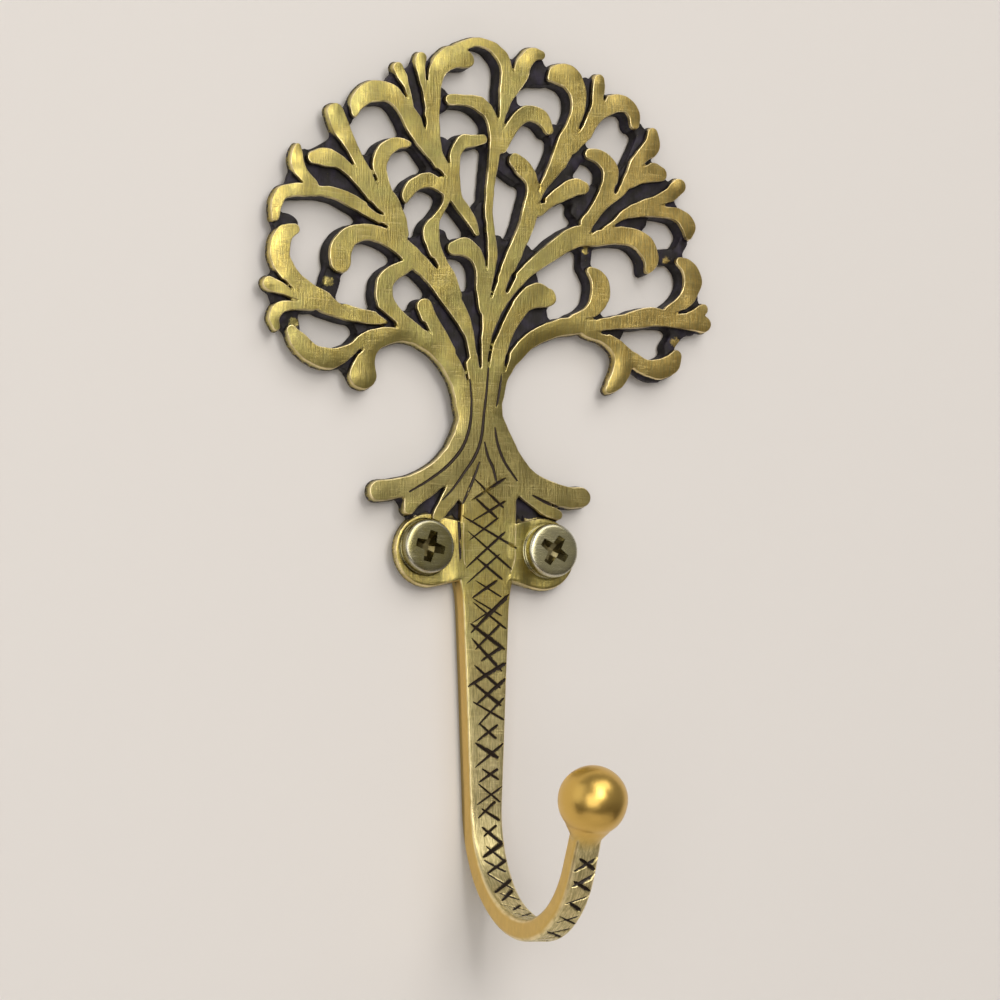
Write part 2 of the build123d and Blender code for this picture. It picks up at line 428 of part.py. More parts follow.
def chisel_mark(path, distance, turn, side):
    """One V-shaped cut across the bar's front (side 1) or its outer face (side -1)."""
    across = bar_at(path, distance)
    spot = across.origin + across.y_dir * (side * CAST_THICKNESS / 2)
    face = Plane(origin=spot, x_dir=across.x_dir, z_dir=across.y_dir)
    length = MARK_REACH * bar_width(distance) / cos(radians(MARK_ANGLE))
    edge = MARK_DEPTH * 2**0.5
    return face.location * Rotation(0, 0, turn * MARK_ANGLE) * Rotation(45, 0, 0) * Box(length, edge, edge)


def chisel_marks(path):
    """Crossed cuts down the front of the shaft into the bend, and up the outside of the arm."""
    stations = bar_stations()
    top = BEND_START_Z - MARK_TOP_Z
    low = stations[3][0]
    arm_top = stations[5][0] - BALL_RADIUS - BALL_NECK_LENGTH
    front = [(top + MARK_PITCH * i, 1) for i in range(int((low - top) / MARK_PITCH))]
    outside = [(low + MARK_PITCH * i, -1) for i in range(int((arm_top - low) / MARK_PITCH) + 1)]
    return [chisel_mark(path, spot, turn, side) for spot, side in front + outside for turn in (-1, 1)]


def hook_casting():
    """The whole casting, tree, lugs, shaft, hook and ball in one piece."""
    path = bend_path()
    body = tree() + [lug(-1), lug(1), shaft(), bend(path), ball(path)]
    cuts = [screw_room(-1, LEFT_SEAT_DEPTH), screw_room(1, RIGHT_SEAT_DEPTH), root_lines()]
    return body - cuts - chisel_marks(path)


def cross(span, wing):
    """The outline of a cross recess."""
    return (Rectangle(span, wing) + Rectangle(wing, span)).face()


def screw(side, seat_depth, turn):
    """One pan-head screw with a cross recess, seated on its lug."""
    seat_y = seat_depth - LUG_THICKNESS
    neck = THREAD_START_Y - seat_y
    profile = Polyline(
        (0, -HEAD_HEIGHT),
        (HEAD_RADIUS - HEAD_BEVEL, -HEAD_HEIGHT),
        (HEAD_RADIUS, HEAD_BEVEL - HEAD_HEIGHT),
        (HEAD_RADIUS, 0),
        (CORE_RADIUS, 0),
        (CORE_RADIUS, neck),
        (THREAD_RADIUS, neck),
        (THREAD_RADIUS, SCREW_LENGTH - POINT_LENGTH),
        (0, SCREW_LENGTH),
        close=True,
    )
    blank = revolve(Plane.XZ * make_face(profile), axis=Axis.Z)
    mouth = Pos(0, 0, -HEAD_HEIGHT) * Rotation(0, 0, turn)
    foot = mouth * Pos(0, 0, RECESS_DEPTH)
    walls = [mouth * cross(RECESS_SPAN, RECESS_WING), foot * cross(RECESS_FOOT_SPAN, RECESS_FOOT_WING)]
    recess = loft(walls, ruled=True)
    into_wall = Plane(origin=(side * SCREW_X, seat_y, 0), x_dir=(1, 0, 0), z_dir=(0, 1, 0))
    return into_wall * (blank - recess)


def fixing_screws():
    """The two screws, the left one let into its lug and the right one standing on it."""
    left = screw(-1, LEFT_SEAT_DEPTH, LEFT_RECESS_TURN)
    right = screw(1, RIGHT_SEAT_DEPTH, RIGHT_RECESS_TURN)
    return Compound(children=[left, right])


if __name__ == "__main__":
    os.makedirs("parts", exist_ok=True)
    export_step(hook_casting(), "parts/hook_casting.step")
    export_step(fixing_screws(), "parts/fixing_screws.step")
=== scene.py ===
"""Antiqued cast brass wall hook: a pierced tree on a chiselled shaft that bends into a ball-ended hook.

The tree's relief is drawn as a height map over the wall in millimetres, and every piece is built in
the frame's metres: +X to the right, +Y into the wall, +Z up, with the wall at Y = 0.
"""
import math
from functools import partial

import bmesh
import bpy
import numpy as np
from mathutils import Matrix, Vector
from mathutils.bvhtree import BVHTree
from mathutils.geometry import delaunay_2d_cdt
from mathutils.kdtree import KDTree


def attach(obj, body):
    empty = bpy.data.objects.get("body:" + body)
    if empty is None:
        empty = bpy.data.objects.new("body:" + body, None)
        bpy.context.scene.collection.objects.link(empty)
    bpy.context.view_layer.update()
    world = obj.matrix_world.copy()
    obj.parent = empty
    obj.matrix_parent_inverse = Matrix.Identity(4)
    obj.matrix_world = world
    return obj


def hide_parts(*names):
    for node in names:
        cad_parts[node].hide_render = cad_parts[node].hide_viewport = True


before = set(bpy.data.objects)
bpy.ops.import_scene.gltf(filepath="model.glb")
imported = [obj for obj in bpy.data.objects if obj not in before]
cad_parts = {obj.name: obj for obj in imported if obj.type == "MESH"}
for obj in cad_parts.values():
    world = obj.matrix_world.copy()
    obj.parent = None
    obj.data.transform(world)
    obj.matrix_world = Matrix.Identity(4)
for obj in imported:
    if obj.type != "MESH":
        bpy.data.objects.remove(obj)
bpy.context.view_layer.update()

MM = 0.001
SEED = 7

# Relief of the casting, in millimetres off the wall
CAST_HEIGHT = 3.2
WEB_HEIGHT = 2.0
LUG_HEIGHT = 2.6
LIP_HEIGHT = 0.45
OUTER_LIP_RISE = 1.1
BACK_INSET = 0.8
BOUGH_ROUND = 0.1
EDGE_UNEVEN = 0.035
ROLL_DROP = 0.42
ROLL_REACH = 2.4
ROOT_TOP = 17.0
CLOSING_RADIUS = 0.7
HOLLOW_TRIM = 0.12
WEB_SET_BACK = 0.7
AIR_GAP = 0.6
AIR_REACH = 1.6
LUG_ROUND = 0.3
WEB_ROUND = 0.3
BOUGH_FLARE = 0.22
WEB_FLARE = 0.12
LUG_FLARE = 0.18
SMALL_PIT = 3.0
PIT_FILL = 0.8
WAVE_HEIGHT, SLOW_WAVE_HEIGHT, WEB_ROUGH = 0.035, 0.04, 0.06
ROOT_FLATNESS = 0.35

# Grid that the relief is drawn on
GRID_STEP = 0.2
GRID_LEFT, GRID_RIGHT = -38.0, 39.4
GRID_LOW, GRID_HIGH = -9.0, 78.4
FIELD_REACH = 1.8
SPAN_STEPS = 10
TREE_OFFSET = 0.4

# Screws and their lugs
SCREW_X = 9.9
LUG_X = 9.3
LUG_Z = -0.4
LUG_RADIUS = 5.3
LUG_NECK_X = 3.0
LUG_NECK_HALF = 3.9
LUG_BLEND_END = 7.4
LUG_BLEND = 2.4
LUG_COVER = 0.06
LUG_COVER_END = 3.6
LUG_SINK, LUG_SINK_RUN = 0.4, 0.8
HOLE_RADIUS = 2.4
HEAD_RADIUS = 4.0
SEAT_RADIUS = 4.25
LEFT_SEAT = 1.7
RIGHT_SEAT = 2.45
LEFT_TURN = 14.0
RIGHT_TURN = 32.0
SCREW_LENGTH = 25.0
THREAD_RADIUS = 2.1
CORE_RADIUS = 1.6
THREAD_PITCH = 1.6
POINT_LENGTH = 4.0
SCREW_SIDES = 48
SHANK_START, THREAD_START, THREAD_STEP = 0.6, 2.75, 0.14
THREAD_HALF, TIP_RADIUS = 0.3, 0.05
# Half profile of the head, (along, radius) from its top to the shank, with two grooves round its side
HEAD_PROFILE = [
    (-2.84, 0.6), (-2.83, 1.8), (-2.81, 2.9), (-2.77, 3.4), (-2.7, 3.66), (-2.58, 3.84), (-2.42, 3.95),
    (-2.2, HEAD_RADIUS), (-1.55, HEAD_RADIUS), (-1.3, HEAD_RADIUS), (-1.22, 3.86), (-1.05, 3.86),
    (-0.97, HEAD_RADIUS), (-0.68, HEAD_RADIUS), (-0.6, 3.86), (-0.45, 3.86), (-0.37, HEAD_RADIUS),
    (-0.08, 3.97), (0.0, 3.88), (0.0, 2.6), (0.0, 1.75), (0.15, CORE_RADIUS),
]
# The driver's cross: (along, half span, half width of a wing) from above the head down
RECESS_ROWS = [(-3.3, 2.5, 0.66), (-2.8, 2.3, 0.58), (-1.35, 1.35, 0.42), (-1.05, 0.5, 0.3)]
RECESS_WAIST = 1.32

# Shaft, bend, arm and ball
SHAFT_X = -0.25
SHAFT_TOP_Z = 9.5
BEND_START_Z = -37.5
BEND_BACK_RADIUS = 17.9
BEND_FRONT_RADIUS = 14.5
ARM_LEAN = 24.0
ARM_LENGTH = 10.5
BAR_ROUND = 0.35
BEND_ROUND = 0.85
BALL_RADIUS = 4.9
SHAFT_WIDTHS = [(9.5, 7.6), (4.0, 8.4), (-4.4, 8.8), (-6.2, 8.0), (-8.6, 7.5), (-20.0, 6.5), (-37.5, 5.2)]
BEND_WIDTHS = [(0.0, 5.2), (28.1, 4.6), (44.8, 4.2), (55.3, 3.9)]
SHAFT_STEP, BEND_STEP, ARM_STEP = 0.8, 0.5, 0.6
ARM_END = 3.0
SUNK_FROM_Z, SUNK_RUN, SUNK_DEPTH = 6.5, 3.0, 0.35
FILED_PROUD, FRONT_WAVE, BACK_WAVE, WIDTH_WAVE = 0.03, 0.04, 0.03, 0.06
BALL_SIDES = 64
# Half profile of the ball's neck: (along from the ball's middle, radius)
NECK_PROFILE = [
    (-8.4, 1.2), (-7.7, 1.55), (-7.0, 1.75), (-6.3, 1.92), (-5.6, 2.15), (-5.0, 2.45), (-4.5, 2.78),
    (-4.05, 3.08),
]
SHARP_CASTING, SHARP_SCREW = 38, 35

# Crossed chisel marks: pitch and depth in millimetres, reach and shift as shares of the bar's half width,
# stagger as a share of the pitch, and the lean in degrees
UPPER_MARKS = {"pitch": 2.7, "reach": 1.15, "depth": 0.24, "shift": 0.0, "stagger": 0.0, "lean": 36}
LOWER_MARKS = {"pitch": 2.8, "reach": 1.1, "depth": 0.33, "shift": 0.14, "stagger": 0.0, "lean": 36}
ARM_MARKS = {"pitch": 3.2, "reach": 1.15, "depth": 0.4, "shift": 0.08, "stagger": 0.5, "lean": 28}
MARK_TURN, MARK_SLIP, MARK_CREEP = 0.16, 0.14, 0.16
MARK_LENGTHS, MARK_DEPTHS = (0.5, 1.06), (0.6, 1.25)
GRAVER_RADIUS, GRAVER_PROUD = 0.27, 0.03
CUT_FULL_DEPTH = 0.07

# The casting's solids are the plate, the bar and the ball, in this order
BAR = 1
# The patina's depth and the bright edge band, which is partly worn and partly a painted highlight
WEAR_AND_HIGHLIGHT_NAMES = ("recess", "edge")

# Wear and painted light: where the patina sets in below a face, how far it is rubbed away, the width of a
# bright edge that is partly worn and partly a painted highlight, and where a painted sheen pales the lower
# end
PATINA_START, PATINA_RUN = 0.04, 0.3
RIM_CLEAN, BRIDGE_CLEAN = 0.56, 0.7
SEAT_PATINA, BACK_RIM, NECK_PATINA = 0.15, 0.1, 0.3
EDGE_INSET, EDGE_WIDTH, EDGE_DEPTH = 0.04, 0.1, 1.0
SIDE_POLISH, BALL_POLISH_REACH, BALL_POLISH_RUN = 0.75, 2.2, 2.0
SHEEN_FROM_Z, SHEEN_RUN = -6, 26

# Colours of the brass, from the body of the metal to the soot in its hollows
YELLOW_BRASS, OLIVE_TARNISH = (0.54, 0.415, 0.105), (0.42, 0.38, 0.12)
# Painted shade: a darker brown across the band of the trunk
# Painted sheen: a warmer, lighter gold towards the right side
PAINTED_RIGHT_SHEEN, PAINTED_TRUNK_SHADE = (0.66, 0.44, 0.125), (0.25, 0.21, 0.085)
# Painted sheen: a pale cream laid over the hook's lower end
PAINTED_LOWER_SHEEN, BROWN_BLOTCH = (0.88, 0.76, 0.42), (0.30, 0.22, 0.08)
BRUSHED_OLIVE, POLISHED_GOLD = (0.29, 0.25, 0.10), (0.70, 0.46, 0.12)
# The bright edge colour is partly worn brass and partly a painted highlight
BRIGHT_SCRATCH, WORN_HIGHLIT_EDGE = (0.72, 0.60, 0.28), (0.95, 0.80, 0.46)
BLACK_SOOT, VIOLET_SOOT, BROWN_SOOT = (0.010, 0.007, 0.006), (0.024, 0.018, 0.034), (0.030, 0.017, 0.009)

# Colours of the plated screws
# Painted shade and reflection: the left screw's plating darker and more olive than the right's
SHADED_LEFT_PLATING, RIGHT_PLATING = (0.30, 0.265, 0.11), (0.50, 0.46, 0.26)
CLOUDY_PLATING, SCRATCHED_PLATING = (0.33, 0.31, 0.21), (0.66, 0.64, 0.52)
# The first colour is rubbed plating with a painted highlight round the head's rim
# The second colour darkens the plating deep in the driver's recess
RUBBED_AND_HIGHLIT_PLATING, DEEP_RECESS_PLATING = (0.78, 0.76, 0.68), (0.10, 0.075, 0.03)

# Stage, in metres and degrees
PALE_PAINT = (0.80, 0.77, 0.745, 1)
FLOOR_Z, FLOOR_HALF = -0.7, 0.8
WALL_HALF, WALL_TOP = 2.0, 2.0
WALL_Y = 0.6 * MM
TOUCHING = 2 * MM
LAMP_WHITE, SIDE_WHITE = (1.0, 0.97, 0.93), (1.0, 0.97, 0.92)
ROOM_LOW, ROOM_HIGH = (0.12, 0.105, 0.09), (0.28, 0.268, 0.253)
LENS, SENSOR_WIDTH = 146.0, 36.0
VIEW_AZIMUTH, VIEW_ELEVATION, VIEW_DISTANCE = -26.0, -5.0, 0.6
VIEW_MIDDLE = Vector((3.5, 0.0, 7.6)) * MM

# Boughs of the tree: (x, z, half width) stations from the tip inwards
LEFT_BOUGHS = [
    [(-20.4, 24.8, 2.15), (-20.0, 26.8, 1.5), (-18.9, 28.8, 1.0), (-16.5, 30.6, 1.2), (-13.5, 31.2, 1.2),
     (-10.5, 30.4, 1.3), (-7.8, 28.6, 1.4), (-5.8, 26.2, 1.4), (-4.7, 23.0, 1.2), (-4.1, 19.0, 1.0)],
    [(-31.8, 30.7, 0.7), (-30.3, 28.8, 1.3), (-28.2, 27.3, 1.4), (-26.0, 26.8, 1.5), (-24.0, 27.3, 1.2),
     (-22.0, 28.6, 0.8), (-20.0, 30.0, 1.0), (-17.0, 31.0, 0.9)],
    [(-31.4, 45.3, 0.8), (-33.0, 44.4, 1.35), (-33.6, 42.3, 1.55), (-33.3, 40.5, 1.45), (-32.0, 38.6, 1.3),
     (-30.0, 36.9, 1.3), (-27.0, 35.1, 1.5), (-24.0, 33.9, 1.2), (-20.0, 33.2, 1.0), (-16.5, 33.2, 0.8)],
    [(-35.3, 37.3, 0.95), (-33.8, 36.7, 0.9), (-32.0, 36.0, 0.6), (-29.5, 35.5, 0.7)],
    [(-34.0, 31.0, 0.5), (-34.4, 32.3, 0.8), (-33.6, 33.7, 0.9), (-31.5, 34.2, 0.7), (-28.5, 34.5, 0.9)],
    [(-13.0, 41.2, 0.8), (-15.0, 40.3, 1.1), (-16.8, 38.8, 1.3), (-17.2, 36.8, 1.4), (-16.4, 34.8, 1.4),
     (-14.3, 32.9, 1.2), (-11.5, 31.2, 1.0)],
    [(-10.7, 35.2, 1.25), (-9.8, 33.4, 1.2), (-8.3, 31.2, 1.2), (-6.8, 28.9, 1.1)],
    [(-24.1, 41.0, 1.6), (-24.1, 42.6, 1.75), (-22.8, 44.7, 1.5), (-20.5, 45.6, 1.2), (-17.5, 45.3, 1.2),
     (-14.5, 44.0, 1.4), (-12.0, 42.0, 1.4), (-9.5, 39.9, 1.3), (-7.0, 37.3, 1.5), (-5.1, 34.8, 1.3),
     (-3.7, 32.2, 0.9), (-3.0, 29.5, 0.65), (-2.5, 26.0, 0.6)],
    [(-34.3, 46.9, 0.6), (-34.2, 48.5, 0.75), (-33.6, 50.2, 0.9), (-32.0, 51.0, 1.0), (-28.5, 51.2, 0.85),
     (-25.0, 51.0, 0.8), (-22.0, 49.9, 1.0), (-19.0, 48.4, 0.8), (-15.5, 47.0, 0.9)],
    [(-30.8, 57.5, 0.5), (-31.0, 56.4, 0.85), (-30.9, 55.0, 0.95), (-30.1, 53.5, 0.9), (-28.3, 51.9, 0.7)],
    [(-28.3, 56.0, 0.95), (-26.5, 56.2, 1.4), (-24.5, 55.7, 1.0), (-22.5, 54.4, 0.9), (-20.0, 52.5, 1.2),
     (-17.8, 50.2, 1.3), (-15.5, 47.8, 1.2)],
    [(-25.0, 63.0, 1.3), (-24.2, 61.0, 1.35), (-23.0, 59.0, 1.05), (-21.8, 57.0, 0.9), (-20.7, 55.0, 0.9),
     (-19.3, 52.8, 0.9)],
    [(-13.3, 59.1, 0.5), (-15.0, 59.1, 0.9), (-17.0, 58.0, 1.2), (-17.9, 56.0, 1.15), (-17.6, 54.0, 0.95),
     (-17.0, 52.0, 1.0), (-16.0, 50.0, 1.3), (-14.8, 47.8, 1.2), (-14.2, 45.8, 1.0)],
    [(-21.9, 63.0, 0.55), (-21.5, 64.5, 1.0), (-19.8, 66.2, 1.5), (-17.4, 66.7, 1.6), (-15.2, 65.8, 1.3),
     (-13.6, 63.9, 1.3), (-12.2, 62.0, 1.5), (-10.3, 59.7, 1.6), (-8.4, 57.0, 1.1), (-6.8, 54.2, 1.0)],
    [(-14.9, 70.4, 0.85), (-14.3, 69.1, 0.8), (-13.6, 67.4, 0.45), (-13.1, 65.0, 0.5)],
    [(-11.2, 72.2, 0.9), (-11.5, 70.8, 0.8), (-11.1, 69.0, 0.6), (-10.4, 66.5, 0.6), (-9.8, 63.5, 0.6)],
    [(-3.9, 72.5, 1.25), (-6.2, 72.7, 1.7), (-8.3, 71.0, 1.4), (-9.2, 68.5, 1.2), (-9.4, 66.0, 1.2),
     (-9.5, 63.0, 1.2), (-9.3, 60.0, 1.2), (-8.4, 57.0, 0.9), (-7.0, 54.5, 0.9)],
    [(-13.7, 50.6, 0.35), (-13.5, 51.7, 0.8), (-12.2, 53.2, 1.0), (-10.2, 54.0, 1.1), (-8.2, 53.4, 0.95),
     (-6.0, 52.4, 1.1)],
    [(-8.9, 48.3, 0.6), (-9.6, 46.5, 1.3), (-9.3, 44.5, 1.15), (-8.2, 42.3, 1.0), (-6.8, 40.0, 1.0),
     (-5.6, 37.3, 1.0)],
    [(-8.9, 48.3, 0.6), (-7.8, 49.9, 0.45), (-6.9, 52.0, 0.6)],
]
CENTRE_BOUGHS = [
    [(-1.3, 60.8, 0.7), (-2.8, 60.4, 0.9), (-4.5, 60.1, 1.0), (-5.6, 58.5, 0.9), (-5.9, 56.0, 0.85),
     (-6.1, 53.6, 1.2), (-5.5, 51.6, 1.0), (-4.3, 50.1, 0.9), (-3.1, 48.4, 0.75), (-2.2, 46.6, 0.4)],
    [(-6.0, 44.2, 0.95), (-4.2, 44.5, 1.35), (-2.5, 43.5, 1.15), (-1.6, 41.5, 0.9), (-1.2, 39.0, 1.1),
     (-0.6, 35.5, 1.2)],
    [(-6.6, 66.3, 0.75), (-4.0, 66.4, 0.85), (-1.8, 66.0, 1.1), (-0.1, 64.6, 1.0), (0.8, 62.4, 1.0),
     (0.8, 59.5, 0.95), (0.2, 55.5, 0.75), (-0.2, 51.0, 0.65), (0.1, 47.0, 0.65), (0.4, 44.0, 0.8),
     (0.1, 40.5, 0.6), (0.2, 36.5, 0.9)],
    [(-5.2, 74.1, 0.8), (-2.5, 75.3, 0.7), (0.0, 75.0, 0.8), (1.9, 73.7, 1.0), (2.7, 71.5, 0.9),
     (2.6, 69.0, 0.95), (2.4, 66.5, 0.9), (1.8, 63.8, 0.5), (1.2, 61.0, 0.9)],
    [(8.6, 74.3, 0.7), (7.0, 74.2, 1.1), (5.6, 72.6, 1.2), (4.6, 70.2, 1.2), (3.3, 67.6, 0.6),
     (2.0, 65.0, 0.3)],
    [(9.7, 63.0, 0.7), (8.7, 64.7, 1.1), (6.6, 65.3, 1.2), (4.7, 64.3, 1.15), (3.1, 62.1, 1.0),
     (1.8, 59.8, 1.0)],
    [(0.6, 36.5, 1.95), (0.0, 34.0, 1.35), (-0.5, 31.0, 0.95), (-0.8, 28.0, 0.7), (-1.2, 24.5, 0.9)],
    [(-1.6, 26.0, 2.8), (-1.45, 22.0, 3.45), (-1.4, 18.5, 3.75), (-1.2, 15.0, 4.8), (-0.6, 11.0, 6.0)],
]
RIGHT_BOUGHS = [
    [(4.1, 58.0, 1.1), (5.6, 56.8, 1.3), (6.9, 55.0, 1.0), (7.0, 53.0, 1.0), (6.6, 50.5, 1.3),
     (5.6, 47.5, 1.2), (4.0, 44.0, 1.2), (2.6, 41.0, 1.0), (1.4, 38.0, 0.9)],
    [(15.5, 54.7, 0.9), (14.0, 54.7, 1.3), (12.0, 53.6, 1.2), (10.0, 52.3, 0.9), (8.0, 50.8, 0.9)],
    [(10.0, 70.9, 0.5), (11.4, 71.6, 1.5), (13.4, 71.2, 1.85), (14.6, 69.0, 1.4), (14.6, 66.5, 1.1),
     (13.8, 64.0, 1.1), (12.8, 61.5, 1.5), (11.7, 59.0, 1.4), (10.2, 56.5, 1.0), (8.8, 54.4, 0.55),
     (7.8, 52.6, 0.6)],
    [(18.3, 71.3, 0.95), (18.1, 69.5, 1.1), (17.8, 67.5, 0.95), (17.0, 65.3, 0.95), (15.8, 63.0, 1.0),
     (13.6, 60.6, 1.0)],
    [(24.2, 65.0, 0.8), (24.2, 66.5, 1.05), (23.0, 67.8, 1.15), (21.0, 68.0, 1.4), (19.0, 67.0, 1.3),
     (17.4, 65.2, 0.9), (16.0, 62.8, 0.9)],
    [(16.5, 59.9, 0.85), (18.4, 59.5, 1.1), (20.0, 58.0, 1.3), (20.0, 56.0, 1.25), (19.3, 54.0, 1.3),
     (17.9, 51.9, 1.05), (16.1, 49.5, 1.15)],
    [(27.4, 63.9, 0.9), (27.3, 62.2, 1.35), (26.2, 60.8, 1.35), (24.7, 59.0, 1.2), (23.4, 56.9, 0.9),
     (21.9, 54.7, 0.75), (19.3, 52.7, 0.7), (17.0, 50.6, 0.9)],
    [(28.8, 57.8, 1.1), (27.2, 57.9, 1.5), (25.3, 57.3, 1.2), (23.2, 56.0, 0.9)],
    [(26.3, 42.9, 0.5), (26.9, 44.5, 1.2), (26.0, 46.6, 1.55), (23.8, 47.8, 1.4), (21.0, 47.9, 1.3),
     (18.0, 47.3, 1.2), (15.0, 47.4, 1.6), (12.3, 46.2, 1.5), (9.5, 44.2, 1.3), (6.5, 41.9, 1.05),
     (3.8, 39.1, 0.9), (1.4, 36.2, 0.9)],
    [(32.0, 56.2, 1.2), (30.3, 54.7, 1.15), (28.0, 53.5, 0.95), (25.5, 52.5, 1.0), (23.0, 51.5, 0.8),
     (21.0, 50.1, 0.4), (19.2, 48.6, 0.5)],
    [(33.5, 48.8, 0.8), (33.4, 50.3, 1.35), (32.0, 51.6, 1.15), (29.5, 52.0, 0.9), (26.5, 51.9, 0.75),
     (23.5, 51.4, 0.7)],
    [(31.9, 44.6, 0.7), (33.4, 43.8, 1.3), (34.2, 42.0, 1.65), (33.6, 40.0, 1.4), (32.2, 38.3, 1.1),
     (30.0, 36.7, 1.0)],
    [(36.0, 37.6, 0.85), (34.0, 36.5, 0.8), (31.0, 35.8, 0.9), (27.0, 35.9, 1.5), (22.0, 34.9, 1.05),
     (18.0, 34.2, 0.95), (14.0, 33.9, 1.3), (10.5, 33.1, 1.25), (7.3, 31.6, 1.2), (4.6, 29.2, 1.1),
     (2.5, 26.0, 0.85), (1.3, 22.0, 0.85)],
    [(36.0, 35.4, 1.25), (33.5, 35.5, 1.1), (30.0, 35.6, 1.0)],
    [(16.6, 42.3, 0.6), (18.0, 41.2, 1.3), (18.4, 39.5, 1.55), (18.0, 37.7, 1.4), (16.5, 36.0, 1.0),
     (14.0, 34.7, 0.9)],
    [(19.8, 24.5, 0.6), (20.7, 25.4, 1.1), (21.8, 27.0, 1.4), (22.3, 29.0, 1.5), (21.3, 31.0, 1.1),
     (19.0, 32.3, 0.8), (16.0, 33.2, 0.8)],
    [(31.4, 30.3, 0.9), (30.4, 29.0, 1.45), (28.5, 28.1, 1.5), (26.0, 28.3, 1.2), (23.7, 29.4, 1.1),
     (21.8, 30.8, 0.9)],
    [(9.3, 37.8, 1.5), (7.6, 38.0, 1.85), (5.6, 36.8, 1.5), (3.85, 34.4, 1.25), (2.45, 31.7, 1.15),
     (1.3, 28.5, 1.2), (0.9, 25.0, 1.1)],
]
ROOTS = [
    [(-17.9, 7.9, 1.5), (-15.5, 8.3, 1.45), (-12.5, 9.1, 1.35), (-9.5, 10.7, 1.2), (-7.0, 12.8, 1.2),
     (-5.0, 15.8, 1.2), (-3.6, 19.0, 1.2)],
    [(-13.1, 5.4, 0.8), (-12.3, 7.1, 1.3), (-9.6, 9.0, 1.3), (-7.0, 11.2, 1.2), (-4.8, 14.5, 1.2)],
    [(-8.6, 4.4, 0.8), (-7.1, 6.6, 1.15), (-5.2, 9.4, 1.5), (-3.2, 13.0, 1.6)],
    [(15.2, 8.2, 1.45), (12.5, 8.2, 1.6), (9.5, 9.0, 1.5), (6.6, 10.5, 1.4), (4.3, 12.8, 1.4),
     (2.4, 16.0, 1.4), (1.2, 19.5, 1.0)],
    [(11.2, 5.4, 0.75), (9.5, 6.0, 0.9), (7.3, 7.5, 1.1), (5.0, 9.8, 1.4), (2.6, 13.0, 1.5)],
    [(-0.3, 10.0, 4.6), (-0.2, 5.0, 4.3), (-0.2, 2.0, 4.3), (-0.2, -1.0, 4.2)],
]
